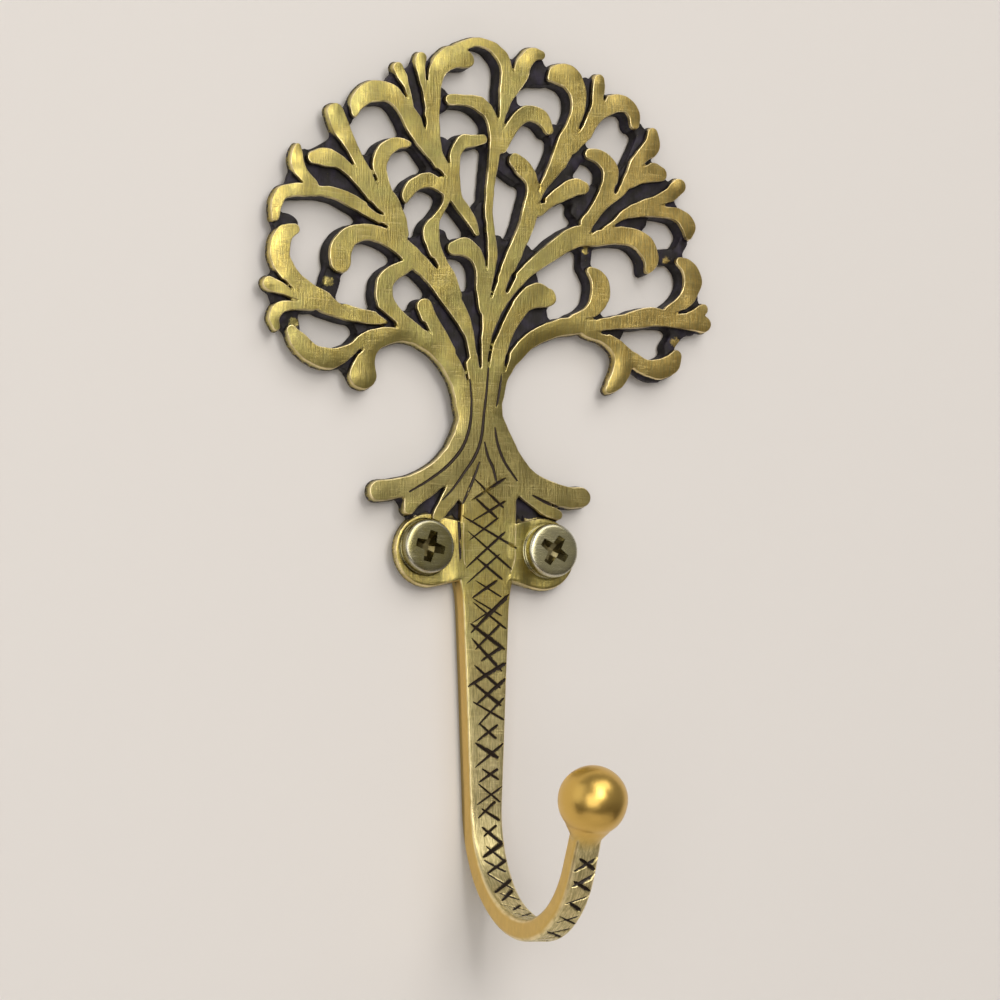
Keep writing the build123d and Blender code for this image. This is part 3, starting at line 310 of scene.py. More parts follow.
# Hollows between the boughs that stay filled to the level of the web
HOLLOWS = [
    [(-24.6, 25.6, 0.9), (-22.6, 26.6, 0.9), (-20.6, 28.6, 0.6)],
    [(-31.6, 33.4, 1.2), (-31.2, 31.2, 1.3)],
    [(-20.5, 32.0, 0.9), (-17.5, 32.2, 0.6), (-15.0, 32.1, 0.5)],
    [(-13.2, 33.5, 1.2), (-11.0, 31.8, 0.7)],
    [(-8.5, 37.4, 0.9), (-7.0, 33.5, 1.4), (-5.0, 30.0, 1.2), (-3.9, 26.5, 0.6)],
    [(-34.6, 38.6, 0.6), (-33.0, 37.4, 0.5)],
    [(-34.8, 35.3, 0.6), (-31.5, 35.2, 0.4)],
    [(-34.4, 46.2, 0.9), (-32.2, 46.7, 1.1), (-31.0, 46.3, 0.8)],
    [(-32.2, 53.0, 0.7), (-30.6, 52.6, 0.5)],
    [(-24.6, 40.0, 1.2), (-25.0, 38.4, 1.4), (-25.3, 37.0, 1.3)],
    [(-29.2, 57.2, 0.9), (-29.3, 54.8, 0.9), (-27.0, 53.3, 1.6), (-23.5, 52.8, 1.5), (-20.5, 50.4, 1.0)],
    [(-28.0, 57.8, 0.4), (-25.5, 58.3, 0.9), (-24.0, 57.4, 1.0), (-22.3, 56.3, 0.7)],
    [(-23.0, 63.7, 0.8), (-22.5, 62.2, 0.8)],
    [(-20.0, 56.5, 0.8), (-18.9, 53.5, 0.7)],
    [(-15.0, 51.2, 0.9), (-14.0, 50.0, 0.7)],
    [(-12.5, 60.4, 0.7), (-10.2, 57.4, 0.7), (-8.0, 54.8, 0.5)],
    [(-15.9, 69.0, 0.6), (-14.0, 66.6, 0.5)],
    [(-13.2, 70.6, 0.6), (-12.3, 67.0, 1.0), (-11.0, 62.8, 0.8)],
    [(-9.9, 72.2, 0.5), (-10.4, 69.0, 0.4)],
    [(-7.4, 67.3, 0.9), (-7.6, 66.0, 0.9), (-7.2, 65.2, 0.7)],
    [(-7.2, 60.0, 0.9), (-7.3, 57.5, 0.8), (-6.9, 55.8, 0.5)],
    [(-1.2, 51.0, 0.5), (-1.4, 49.0, 1.0), (-1.1, 46.4, 0.8), (-0.7, 43.4, 0.5)],
    [(-2.9, 45.8, 0.5), (-2.0, 44.9, 0.6), (-1.0, 43.5, 0.5)],
    [(-7.4, 46.2, 0.9), (-7.1, 43.4, 1.0)],
    [(-11.9, 44.9, 0.7), (-10.6, 42.6, 0.6), (-8.8, 40.9, 0.4)],
    [(-3.6, 37.6, 0.6), (-2.9, 35.6, 1.0), (-2.2, 32.0, 1.0), (-1.7, 27.6, 0.6)],
    [(3.7, 74.0, 0.5), (3.7, 71.6, 0.5)],
    [(8.8, 73.3, 1.0), (7.4, 71.4, 1.3), (6.2, 70.2, 0.9)],
    [(9.9, 70.6, 0.7), (7.6, 70.6, 0.8)],
    [(4.2, 67.6, 0.9), (2.9, 65.0, 0.7), (1.9, 63.2, 0.4)],
    [(11.2, 63.4, 0.9), (11.1, 60.6, 0.6), (9.8, 57.4, 0.6), (8.2, 55.2, 0.5)],
    [(2.5, 58.6, 0.9), (2.5, 57.0, 0.7), (4.9, 55.2, 0.6)],
    [(1.9, 46.2, 0.7), (1.6, 43.0, 0.7), (0.6, 39.6, 0.5)],
    [(16.6, 72.0, 0.6), (16.6, 69.0, 0.7), (15.8, 65.5, 0.6), (14.8, 63.4, 0.4)],
    [(19.6, 69.3, 0.5), (18.9, 68.3, 0.4)],
    [(26.0, 65.4, 0.5), (25.5, 63.2, 0.55), (24.2, 60.5, 0.5), (22.6, 57.4, 0.5), (21.0, 54.8, 0.4)],
    [(27.6, 60.0, 0.5), (25.8, 58.9, 0.4)],
    [(31.4, 57.2, 0.5), (29.5, 56.0, 0.6), (26.0, 55.0, 1.3), (22.5, 53.0, 1.1), (19.5, 50.6, 1.0),
     (17.0, 48.3, 0.5)],
    [(32.2, 53.4, 0.5), (29.0, 52.9, 0.4)],
    [(26.0, 50.3, 0.9), (22.0, 49.9, 0.6)],
    [(33.4, 47.8, 1.1), (32.0, 46.0, 1.0), (29.6, 45.4, 1.2), (27.4, 45.0, 0.9)],
    [(15.3, 60.7, 1.0), (14.2, 58.4, 1.2), (12.0, 56.2, 0.9), (9.0, 53.4, 0.6)],
    [(17.5, 54.6, 0.9), (16.2, 52.6, 0.9), (14.6, 51.2, 0.8)],
    [(6.5, 44.8, 0.9), (5.0, 42.6, 0.8), (3.0, 39.4, 0.5)],
    [(8.0, 40.6, 0.6), (5.0, 38.8, 0.5), (2.4, 35.2, 0.5), (0.4, 30.6, 0.4)],
    [(16.6, 45.4, 1.0), (16.4, 43.0, 0.9)],
    [(35.8, 39.6, 0.6), (33.6, 38.0, 0.6), (31.6, 36.9, 0.4)],
    [(18.2, 35.7, 0.6), (16.4, 35.0, 0.4)],
    [(22.0, 33.3, 0.8), (18.5, 33.3, 0.5)],
    [(34.8, 33.8, 0.7), (32.4, 33.6, 1.0), (30.8, 31.6, 1.2)],
    [(9.2, 35.4, 0.9), (6.6, 34.2, 1.2), (4.2, 31.0, 1.1), (2.8, 27.8, 0.5)],
    [(24.6, 27.4, 0.7), (26.6, 26.4, 0.8), (29.0, 26.4, 0.7)],
    [(-9.6, 5.0, 1.8), (-8.2, 7.0, 1.3), (-6.8, 9.0, 0.7)],
    [(-5.2, 6.4, 1.2), (-5.2, 4.6, 1.2), (-4.9, 2.0, 0.8)],
    [(5.4, 7.2, 1.2), (6.2, 5.4, 1.7), (8.4, 5.2, 0.9)],
]
# Engraved lines: (x, z) points from the trunk outwards
ROOT_LINES = [
    [(-0.2, 28.5), (-0.6, 24.0), (-1.1, 19.5), (-1.6, 16.0), (-2.6, 13.5), (-4.2, 11.2), (-6.0, 8.8),
     (-7.8, 6.9)],
    [(-3.4, 25.0), (-3.1, 21.5), (-3.4, 18.0), (-4.6, 14.8), (-7.0, 12.0), (-10.0, 9.8), (-13.2, 7.9)],
    [(1.9, 26.0), (1.5, 23.5), (1.0, 21.0)],
    [(0.7, 18.0), (1.2, 15.5), (2.4, 12.8), (4.4, 10.2)],
    [(-1.0, 15.8), (-0.4, 13.6), (0.4, 12.0), (1.0, 9.8)],
    [(-1.8, 12.8), (-2.7, 10.4), (-3.7, 8.2), (-4.6, 6.4)],
    [(12.3, 6.3), (10.0, 6.9), (8.4, 7.5), (6.8, 8.2)],
    [(-5.2, 5.4), (-5.1, 3.0), (-5.0, 0.4), (-4.9, -2.0)],
]

# Sharp notches that run on into the joins of the boughs: (x, z, half width) from the mouth inwards
NOTCHES = [
    [(-14.3, 66.9, 0.3), (-13.45, 65.75, 0.12)], [(-10.85, 63.2, 0.35), (-10.6, 61.5, 0.12)],
    [(-10.4, 69.4, 0.25), (-10.35, 68.1, 0.12)], [(-18.8, 54.0, 0.3), (-18.1, 52.55, 0.12)],
    [(-19.5, 49.8, 0.5), (-18.3, 48.9, 0.35), (-17.3, 48.4, 0.14)],
    [(-32.9, 37.6, 0.3), (-31.5, 36.35, 0.14)],
    [(-31.7, 35.05, 0.25), (-30.75, 34.95, 0.14)], [(-17.6, 46.95, 0.25), (-16.7, 46.65, 0.12)],
    [(-25.3, 35.9, 0.2), (-22.9, 34.2, 0.14)], [(-18.0, 34.2, 0.45), (-16.6, 33.2, 0.4), (-15.3, 32.5, 0.15)],
    [(-16.0, 32.2, 0.3), (-14.9, 31.9, 0.12)], [(-21.2, 28.0, 0.3), (-20.5, 28.5, 0.12)],
    [(1.25, 64.7, 0.3), (1.4, 63.75, 0.12)], [(3.75, 72.0, 0.25), (3.75, 71.2, 0.12)],
    [(-6.85, 57.4, 0.3), (-6.65, 56.3, 0.12)], [(-8.6, 55.5, 0.35), (-7.2, 54.5, 0.14)],
    [(8.15, 54.3, 0.25), (8.0, 53.5, 0.12)], [(8.8, 52.2, 0.3), (8.0, 51.85, 0.14)],
    [(-9.3, 42.3, 0.3), (-8.5, 41.3, 0.13)], [(-10.8, 32.7, 0.35), (-9.55, 31.1, 0.13)],
    [(-4.4, 27.2, 0.35), (-3.9, 25.6, 0.22), (-3.4, 23.5, 0.16)],
    [(-1.85, 29.2, 0.4), (-1.7, 27.8, 0.3), (-1.58, 26.7, 0.13)],
    [(3.3, 36.5, 0.4), (1.9, 34.3, 0.38), (0.7, 31.8, 0.33), (0.0, 29.0, 0.28), (-0.35, 26.5, 0.2)],
    [(2.8, 28.7, 0.35), (2.4, 26.4, 0.14)], [(0.9, 39.9, 0.4), (0.15, 37.3, 0.14)],
    [(3.8, 40.6, 0.4), (2.7, 38.3, 0.2)], [(15.25, 64.4, 0.3), (14.6, 63.05, 0.15)],
    [(19.3, 68.9, 0.3), (18.95, 67.9, 0.1)], [(27.3, 59.9, 0.3), (26.4, 59.3, 0.25), (25.5, 58.7, 0.12)],
    [(30.3, 53.2, 0.3), (28.4, 52.95, 0.12)], [(21.2, 55.3, 0.3), (20.85, 54.3, 0.14)],
    [(17.8, 35.25, 0.3), (15.9, 34.85, 0.12)], [(19.4, 33.05, 0.3), (17.55, 33.15, 0.12)],
    [(32.8, 37.1, 0.3), (31.1, 36.75, 0.13)], [(17.8, 49.0, 0.35), (16.6, 47.75, 0.15)],
]

# Bridges of the web that have been rubbed back to brass: (x, z, reach)
RUBBED_BRIDGES = [
    (-25.6, 38.2, 1.1), (-31.0, 31.8, 1.1), (30.0, 45.0, 0.9), (16.4, 45.4, 0.8), (31.5, 32.5, 1.0),
]

LUGS = [
    [(side * LUG_X, LUG_Z, LUG_RADIUS), (side * LUG_NECK_X, LUG_Z, LUG_NECK_HALF)] for side in (-1, 1)
]

GRID_X = np.arange(GRID_LEFT, GRID_RIGHT, GRID_STEP)
GRID_Z = np.arange(GRID_LOW, GRID_HIGH, GRID_STEP)


# Drawing the relief

def smooth_path(stations):
    """Closely spaced rows on the smooth curve through the stations."""
    rows = np.array(stations, float)
    before = np.vstack([2 * rows[0] - rows[1], rows[:-1]])
    after = np.vstack([rows[1:], 2 * rows[-1] - rows[-2]])
    slopes = (after - before) / 2
    t = np.linspace(0, 1, SPAN_STEPS, endpoint=False)[:, None]
    spans = [
        (2 * t**3 - 3 * t**2 + 1) * rows[i] + (t**3 - 2 * t**2 + t) * slopes[i]
        + (3 * t**2 - 2 * t**3) * rows[i + 1] + (t**3 - t**2) * slopes[i + 1]
        for i in range(len(rows) - 1)
    ]
    return np.vstack([*spans, rows[-1:]])


def distance_field(strokes, offset=0.0):
    """Signed distance from the nearest edge of the strokes over the grid, negative inside them."""
    field = np.full((len(GRID_Z), len(GRID_X)), FIELD_REACH)
    for stations in strokes:
        for x, z, half in smooth_path(stations):
            x = x + offset
            reach = half + FIELD_REACH
            i0, i1 = np.searchsorted(GRID_X, [x - reach, x + reach])
            j0, j1 = np.searchsorted(GRID_Z, [z - reach, z + reach])
            away = np.hypot(GRID_X[None, i0:i1] - x, GRID_Z[j0:j1, None] - z) - half
            np.minimum(field[j0:j1, i0:i1], away, out=field[j0:j1, i0:i1])
    return field


def softened(field, passes):
    """The field with its creases rounded."""
    for _ in range(passes):
        padded = np.pad(field, 1, mode="edge")
        rows = (padded[:-2] + 2 * padded[1:-1] + padded[2:]) / 4
        field = (rows[:, :-2] + 2 * rows[:, 1:-1] + rows[:, 2:]) / 4
    return field


def closed(field, radius):
    """The field with every gap and corner filled that a disc of this radius can't enter."""
    cells = math.ceil(radius / GRID_STEP)
    padded = np.pad(field, cells, mode="edge")
    rows, columns = field.shape
    widest = field
    for j in range(-cells, cells + 1):
        for i in range(-cells, cells + 1):
            if math.hypot(i, j) * GRID_STEP <= radius:
                shifted = padded[cells + j:cells + j + rows, cells + i:cells + i + columns]
                widest = np.maximum(widest, shifted)
    return widest - radius


def random_waves(seed, passes, height):
    """A smooth random field over the grid, about so many millimetres high."""
    field = softened(np.random.default_rng(seed).normal(size=(len(GRID_Z), len(GRID_X))), passes)
    return field / field.std() * height


def spread(mask, steps, within):
    """The mask grown so many cells in each direction inside another mask."""
    for _ in range(steps):
        grown = mask.copy()
        grown[1:] |= mask[:-1]
        grown[:-1] |= mask[1:]
        grown[:, 1:] |= mask[:, :-1]
        grown[:, :-1] |= mask[:, 1:]
        mask = grown & within
    return mask


def at(field, x, z):
    """The field's values at points, by bilinear interpolation."""
    i = np.clip((x - GRID_LEFT) / GRID_STEP, 0, len(GRID_X) - 1.001)
    j = np.clip((z - GRID_LOW) / GRID_STEP, 0, len(GRID_Z) - 1.001)
    i0, j0 = i.astype(int), j.astype(int)
    a, b = i - i0, j - j0
    low = field[j0, i0] * (1 - a) + field[j0, i0 + 1] * a
    high = field[j0 + 1, i0] * (1 - a) + field[j0 + 1, i0 + 1] * a
    return low * (1 - b) + high * b


def contour(field, level):
    """Points and index pairs of the lines where the field crosses a level."""
    f = field - level
    f[f == 0] = 1e-9
    inside = f < 0
    across = inside[:, :-1] != inside[:, 1:]
    upward = inside[:-1] != inside[1:]
    h_id = np.full(across.shape, -1)
    v_id = np.full(upward.shape, -1)
    h_id[across] = np.arange(across.sum())
    v_id[upward] = np.arange(upward.sum()) + across.sum()
    hj, hi = np.nonzero(across)
    vj, vi = np.nonzero(upward)
    ht = f[hj, hi] / (f[hj, hi] - f[hj, hi + 1])
    vt = f[vj, vi] / (f[vj, vi] - f[vj + 1, vi])
    points = np.vstack([
        np.c_[GRID_X[hi] + ht * GRID_STEP, GRID_Z[hj]],
        np.c_[GRID_X[vi], GRID_Z[vj] + vt * GRID_STEP],
    ])
    sides = np.stack([h_id[:-1], v_id[:, 1:], h_id[1:], v_id[:, :-1]], axis=-1)
    crossed = (sides >= 0).sum(-1)
    plain = sides[crossed == 2]
    saddle = sides[crossed == 4]
    pairs = np.vstack([plain[plain >= 0].reshape(-1, 2), saddle[:, [0, 1]], saddle[:, [2, 3]]])
    return points, pairs


def circle(x, z, radius, count=72):
    """Points and index pairs of a circle."""
    turn = np.arange(count) * 2 * np.pi / count
    points = np.c_[x + radius * np.cos(turn), z + radius * np.sin(turn)]
    return points, np.c_[np.arange(count), (np.arange(count) + 1) % count]


def shoulder(away, top, radius, flare):
    """Height of a cast edge: flat inside, rounded over the edge and drafted outwards to the lip."""
    inside = np.clip(away + radius, 0, radius)
    rounded = top - radius + np.sqrt(radius**2 - inside**2)
    return np.where(away < 0, rounded, top - radius - away * (top - radius - LIP_HEIGHT) / flare)


class Relief:
    """The casting's height map: its fields, its outline and its heights."""

    def __init__(self):
        tree = LEFT_BOUGHS + CENTRE_BOUGHS + RIGHT_BOUGHS + ROOTS
        notch = distance_field(NOTCHES, TREE_OFFSET)
        uneven = random_waves(SEED + 3, 10, EDGE_UNEVEN)
        self.bough = softened(np.maximum(distance_field(tree, TREE_OFFSET), -notch), 1) + uneven
        self.lug = softened(distance_field(LUGS), 1)
        hollow = np.minimum(distance_field(HOLLOWS, TREE_OFFSET) + HOLLOW_TRIM, notch)
        self.web = softened(closed(np.minimum.reduce([hollow, self.bough, self.lug]), CLOSING_RADIUS), 2)
        self.ground = self.outline()
        self.open_side = self.open_edges()
        self.web = self.web + WEB_SET_BACK * self.open_side
        self.ground = self.outline()
        self.roll = self.roll_off()
        self.waves = random_waves(SEED, 60, WAVE_HEIGHT) + random_waves(SEED + 1, 400, SLOW_WAVE_HEIGHT)
        self.rough = random_waves(SEED + 2, 6, WEB_ROUGH)

    def outline(self):
        """Signed distance from the plate's edge at the wall, with small pits filled to the web."""
        edges = [self.bough - BOUGH_FLARE, self.web - WEB_FLARE, self.lug - LUG_FLARE]
        ground = np.minimum.reduce(edges)
        ground = np.where(self.small_pits(ground), -0.3, ground)
        for side in (-1, 1):
            hole = HOLE_RADIUS - np.hypot(GRID_X[None] - side * SCREW_X, GRID_Z[:, None])
            ground = np.maximum(ground, hole)
        return ground

    def small_pits(self, ground):
        """Cells of the pits that are too small to pierce the web."""
        left = ground >= 0
        pits = np.zeros_like(left)
        limit = SMALL_PIT / GRID_STEP**2
        while left.any():
            first = np.zeros_like(left)
            first[tuple(np.argwhere(left)[0])] = True
            patch = first
            while True:
                grown = spread(patch, 12, left)
                if grown.sum() == patch.sum():
                    break
                patch = grown
            if patch.sum() < limit:
                pits |= patch
            left &= ~patch
        return spread(pits, 1, np.ones_like(pits))

    def open_edges(self):
        """How far each edge faces open air rather than a piercing or a notch, from 0 to 1."""
        wide = self.ground > AIR_GAP
        border = np.zeros_like(wide)
        border[0] = border[-1] = border[:, 0] = border[:, -1] = True
        air = spread(border & wide, 900, wide)
        near = spread(air, round(AIR_REACH / GRID_STEP), np.ones_like(air))
        return softened(near.astype(float), 3)

    def roll_off(self):
        """How far the faces roll back towards the wall beside the plate's outer edge, in millimetres."""
        points, _ = contour(self.ground, 0.0)
        points = points[at(self.open_side, *points.T) > 0.5]
        outer = KDTree(len(points))
        for index, (x, z) in enumerate(points):
            outer.insert((x, z, 0), index)
        outer.balance()
        roll = np.zeros_like(self.ground)
        for j, i in np.argwhere(self.ground < AIR_GAP):
            away = outer.find((GRID_X[i], GRID_Z[j], 0))[2]
            flat = ROOT_FLATNESS if GRID_Z[j] < ROOT_TOP else 1.0
            roll[j, i] = flat * ROLL_DROP * max(0, 1 - away / ROLL_REACH) ** 2
        return softened(roll, 4)

    def height(self, x, z):
        """Height off the wall at points of the plate."""
        inwards = at(self.bough, x, z)
        bough_top = CAST_HEIGHT - at(self.roll, x, z)
        bough = shoulder(inwards, bough_top, BOUGH_ROUND, BOUGH_FLARE)
        web = shoulder(at(self.web, x, z), WEB_HEIGHT, WEB_ROUND, WEB_FLARE)
        pit = np.where(at(self.ground, x, z) < -0.05, WEB_HEIGHT * PIT_FILL, 0)
        rise = np.clip((LUG_BLEND_END - np.abs(x)) / LUG_BLEND, 0, 1)
        lug_top = LUG_HEIGHT + (CAST_HEIGHT + LUG_COVER - LUG_HEIGHT) * rise**2 * (3 - 2 * rise)
        lug_top -= np.clip((LUG_COVER_END - np.abs(x)) / LUG_SINK_RUN, 0, 1) * LUG_SINK
        lug = shoulder(at(self.lug, x, z), lug_top, LUG_ROUND, LUG_FLARE)
        waves = at(self.waves, x, z)
        web = np.where(at(self.web, x, z) < -0.1, web + at(self.rough, x, z), web)
        height = np.maximum.reduce([bough + waves, np.maximum(web, pit), lug + waves])
        for side, seat in ((-1, LEFT_SEAT), (1, RIGHT_SEAT)):
            away = np.hypot(x - side * SCREW_X, z)
            height = np.where(away < SEAT_RADIUS, np.minimum(height, seat), height)
        edge = at(self.ground, x, z)
        lip = LIP_HEIGHT + OUTER_LIP_RISE * at(self.open_side, x, z)
        return np.where(edge > -0.02, lip, np.clip(height, lip, CAST_HEIGHT + LUG_COVER))

    def tucked_under(self, points):
        """Points of the outline drawn in under the plate where it faces open air, as far as there is room."""
        step = np.array([GRID_STEP, 0.0])
        across = at(self.ground, *(points + step).T) - at(self.ground, *(points - step).T)
        upward = at(self.ground, *(points + step[::-1]).T) - at(self.ground, *(points - step[::-1]).T)
        inward = -np.c_[across, upward] / (np.hypot(across, upward) + 1e-6)[:, None]
        inward *= at(self.open_side, *points.T)[:, None]
        drawn = points.copy()
        room = np.ones(len(points), bool)
        for inset in np.linspace(0.1, BACK_INSET, 8):
            moved = points + inward * inset
            room &= at(self.ground, *moved.T) < -0.8 * inset * np.hypot(*inward.T) + 0.02
            drawn[room] = moved[room]
        return drawn


# Meshes

def filled(points, pairs, outline_pairs, field):
    """Triangles over the points inside the outline, whose pairs come last among the index pairs."""
    edges = np.vstack([pairs, outline_pairs]) if len(pairs) else outline_pairs
    result = delaunay_2d_cdt(
        [Vector(p) for p in points], edges.tolist(), [], 0, 1e-4, True
    )
    verts = np.array([tuple(v) for v in result[0]])
    made_edges, tris, came_from = np.array(result[1]), np.array(result[2]), result[4]
    walls = {
        tuple(sorted(made_edges[i])) for i, old in enumerate(came_from) if old and max(old) >= len(pairs)
    }
    parent = list(range(len(tris)))

    def root(i):
        while parent[i] != i:
            parent[i] = parent[parent[i]]
            i = parent[i]
        return i

    seen = {}
    for index, tri in enumerate(tris.tolist()):
        for a, b in ((tri[0], tri[1]), (tri[1], tri[2]), (tri[2], tri[0])):
            key = (a, b) if a < b else (b, a)
            if key in walls:
                continue
            if key in seen:
                parent[root(index)] = root(seen[key])
            else:
                seen[key] = index
    patch = np.array([root(i) for i in range(len(tris))])
    corner = verts[tris]
    middle = corner.mean(1)
    area = np.abs(np.cross(corner[:, 1] - corner[:, 0], corner[:, 2] - corner[:, 0]))
    vote = np.bincount(patch, area * np.sign(at(field, middle[:, 0], middle[:, 1])), len(tris))
    return verts, tris[vote[patch] < 0], result[3]


def mesh_object(name, verts, faces):
    """A new object in the scene from points in metres and faces."""
    mesh = bpy.data.meshes.new(name)
    mesh.from_pydata([tuple(v) for v in verts], [], [tuple(f) for f in faces])
    mesh.update()
    made = bpy.data.objects.new(name, mesh)
    bpy.context.scene.collection.objects.link(made)
    return made


def store(mesh, name, values, domain="POINT"):
    """Keeps one number for each point or face of a mesh as a named attribute."""
    attribute = mesh.attributes.get(name) or mesh.attributes.new(name, "FLOAT", domain)
    attribute.data.foreach_set("value", np.asarray(values, np.float32))


def taken(obj, name):
    """A plain mesh object of what an object's modifiers make, and the first object is removed."""
    depsgraph = bpy.context.evaluated_depsgraph_get()
    mesh = bpy.data.meshes.new_from_object(obj.evaluated_get(depsgraph), depsgraph=depsgraph)
    mesh.name = name
    made = bpy.data.objects.new(name, mesh)
    bpy.context.scene.collection.objects.link(made)
    bpy.data.objects.remove(obj)
    return made


def plate_lines(relief):
    """Lines that the plate's mesh follows, as points and index pairs, then loose points, then its outline."""
    rings = [contour(relief.bough, level) for level in (-0.8, -0.18, -BOUGH_ROUND, -0.03, 0.0)]
    foot = (CAST_HEIGHT - BOUGH_ROUND - WEB_HEIGHT) / (CAST_HEIGHT - BOUGH_ROUND - LIP_HEIGHT)
    clear_of_boughs = [(relief.bough, foot * BOUGH_FLARE)]
    clear_of_boughs += [(relief.web, level) for level in (-WEB_ROUND, -0.1, 0.0)]
    clear_of_boughs += [(relief.lug, level) for level in (-LUG_ROUND, -0.1, 0.0)]
    for field, level in clear_of_boughs:
        points, pairs = contour(field, level)
        keep = at(relief.bough, *points.T) > foot * BOUGH_FLARE - 1e-6
        rings.append((points, pairs[keep[pairs].all(1)]))
    for side in (-1, 1):
        rings += [circle(side * SCREW_X, 0, SEAT_RADIUS + gap) for gap in (-0.02, 0.02)]
    inner = np.mgrid[GRID_LEFT:GRID_RIGHT:0.9, GRID_LOW:GRID_HIGH:0.9].reshape(2, -1).T
    inner = inner[(at(relief.bough, *inner.T) < -0.9) | (at(relief.web, *inner.T) < -0.5)]
    rings.append((inner, np.zeros((0, 2), int)))
    rings.append(contour(relief.ground, 0.0))
    return rings


def rim_of(tris):
    """The edges that belong to one triangle only, in that triangle's direction."""
    corners = tris[:, [0, 1, 1, 2, 2, 0]].reshape(-1, 2)
    _, first, count = np.unique(np.sort(corners, 1), axis=0, return_index=True, return_counts=True)
    return corners[first[count == 1]]


def tree_plate(relief):
    """The pierced tree, its roots and the lugs, flat on the wall."""
    rings = plate_lines(relief)
    starts = np.cumsum([0] + [len(points) for points, _ in rings])
    points = np.vstack([points for points, _ in rings])
    pairs = [ring + start for (_, ring), start in zip(rings, starts)]
    used = np.unique(np.concatenate([p.ravel() for p in pairs] + [np.arange(starts[-3], starts[-2])]))
    keep = np.zeros(len(points), bool)
    keep[used] = True
    keep &= at(relief.ground, *points.T) < 1e-6
    new_index = np.cumsum(keep) - 1
    pairs = [new_index[p[keep[p].all(1)]] for p in pairs]
    flat, tris, _ = filled(points[keep], np.vstack(pairs[:-1]), pairs[-1], relief.ground)
    height = relief.height(flat[:, 0], flat[:, 1])
    front = np.c_[flat[:, 0], -height, flat[:, 1]]
    rim = rim_of(tris)
    rim_points = np.unique(rim)
    back_of = np.full(len(flat), -1)
    back_of[rim_points] = np.arange(len(rim_points)) + len(flat)
    local = np.searchsorted(rim_points, rim)
    _, back_tris, old = filled(flat[rim_points], [], local, relief.ground)
    order = np.array([ids[0] for ids in old])
    tucked = relief.tucked_under(flat[rim_points])
    back = np.c_[tucked[:, 0], np.zeros(len(rim_points)), tucked[:, 1]]
    walls = np.c_[rim[:, 1], rim[:, 0], back_of[rim[:, 0]], back_of[rim[:, 1]]]
    faces = [*tris.tolist(), *walls.tolist(), *(order[back_tris][:, ::-1] + len(flat)).tolist()]
    return mesh_object("tree_plate", np.vstack([front, back]) * MM, faces)


def outwards(obj):
    """Turns all faces of a closed mesh outwards."""
    bm = bmesh.new()
    bm.from_mesh(obj.data)
    bmesh.ops.recalc_face_normals(bm, faces=bm.faces)
    bm.to_mesh(obj.data)
    bm.free()


def tube(name, rows):
    """A closed tube through rows of points in millimetres, with a flat face at each end."""
    count = len(rows[0])
    turn = np.arange(count)
    beside = (turn + 1) % count
    faces = []
    for i in range(len(rows) - 1):
        a, b = i * count, (i + 1) * count
        faces += np.c_[a + turn, a + beside, b + beside, b + turn].tolist()
    last = (len(rows) - 1) * count
    faces += [turn[::-1].tolist(), (turn + last).tolist()]
    made = mesh_object(name, np.vstack(rows) * MM, faces)
    outwards(made)
    return made


def rounded_section(width, front, back, radius):
    """(across, out) points of the bar's section, and how near each is to a corner's middle, from 0 to 1."""
    side = width / 2 - radius
    middles = [(side, front - radius), (-side, front - radius), (-side, back + radius), (side, back + radius)]
    quarter = np.radians(np.linspace(0, 90, 6))
    arcs = [
        np.c_[x + radius * np.cos(quarter + i * np.pi / 2), y + radius * np.sin(quarter + i * np.pi / 2)]
        for i, (x, y) in enumerate(middles)
    ]
    near = 1 - np.abs(np.linspace(-1, 1, 6))
    points, edge = [], []
    for arc, following, steps in zip(arcs, arcs[1:] + arcs[:1], (10, 4, 6, 4)):
        share = np.linspace(0, 1, steps + 1)[1:-1, None]
        points += [arc, arc[-1] * (1 - share) + following[0] * share]
        edge += [near, np.zeros(steps - 1)]
    return np.vstack(points), np.concatenate(edge)


def on_arm(turn, past):
    """How far off the wall and how high the arm's middle is after a turn and a straight run."""
    u = CAST_HEIGHT / 2 + BEND_BACK_RADIUS + BEND_FRONT_RADIUS * math.sin(turn) + past * math.cos(turn)
    v = BEND_START_Z - BEND_BACK_RADIUS + BEND_FRONT_RADIUS * (1 - math.cos(turn)) + past * math.sin(turn)
    return u, v


def bar_line():
    """Rows of the bar's middle from the trunk to the ball: y, z, the front's direction, width, length."""
    half = CAST_HEIGHT / 2
    low = math.radians(90) * BEND_BACK_RADIUS
    turn = math.radians(90 - ARM_LEAN)
    arm = low + turn * BEND_FRONT_RADIUS
    straight = SHAFT_TOP_Z - BEND_START_Z
    stops = [
        np.arange(-straight, 0, SHAFT_STEP), np.arange(0, low, BEND_STEP),
        np.arange(low, arm, BEND_STEP), np.arange(arm, arm + ARM_LENGTH - ARM_END, ARM_STEP),
    ]
    rows = []
    for s in np.concatenate(stops):
        if s < 0:
            u, v, n = half, BEND_START_Z - s, (1.0, 0.0)
            width = np.interp(v, *zip(*SHAFT_WIDTHS[::-1]))
        elif s < low:
            a = s / BEND_BACK_RADIUS
            u = half + BEND_BACK_RADIUS * (1 - math.cos(a))
            v = BEND_START_Z - BEND_BACK_RADIUS * math.sin(a)
            n = (math.cos(a), math.sin(a))
        else:
            a = min(s - low, arm - low) / BEND_FRONT_RADIUS
            u, v = on_arm(a, max(s - arm, 0))
            n = (-math.sin(a), math.cos(a))
        if s >= 0:
            width = np.interp(s, *zip(*BEND_WIDTHS))
        rows.append((-u, v, -n[0], n[1], width, s))
    return np.array(rows)


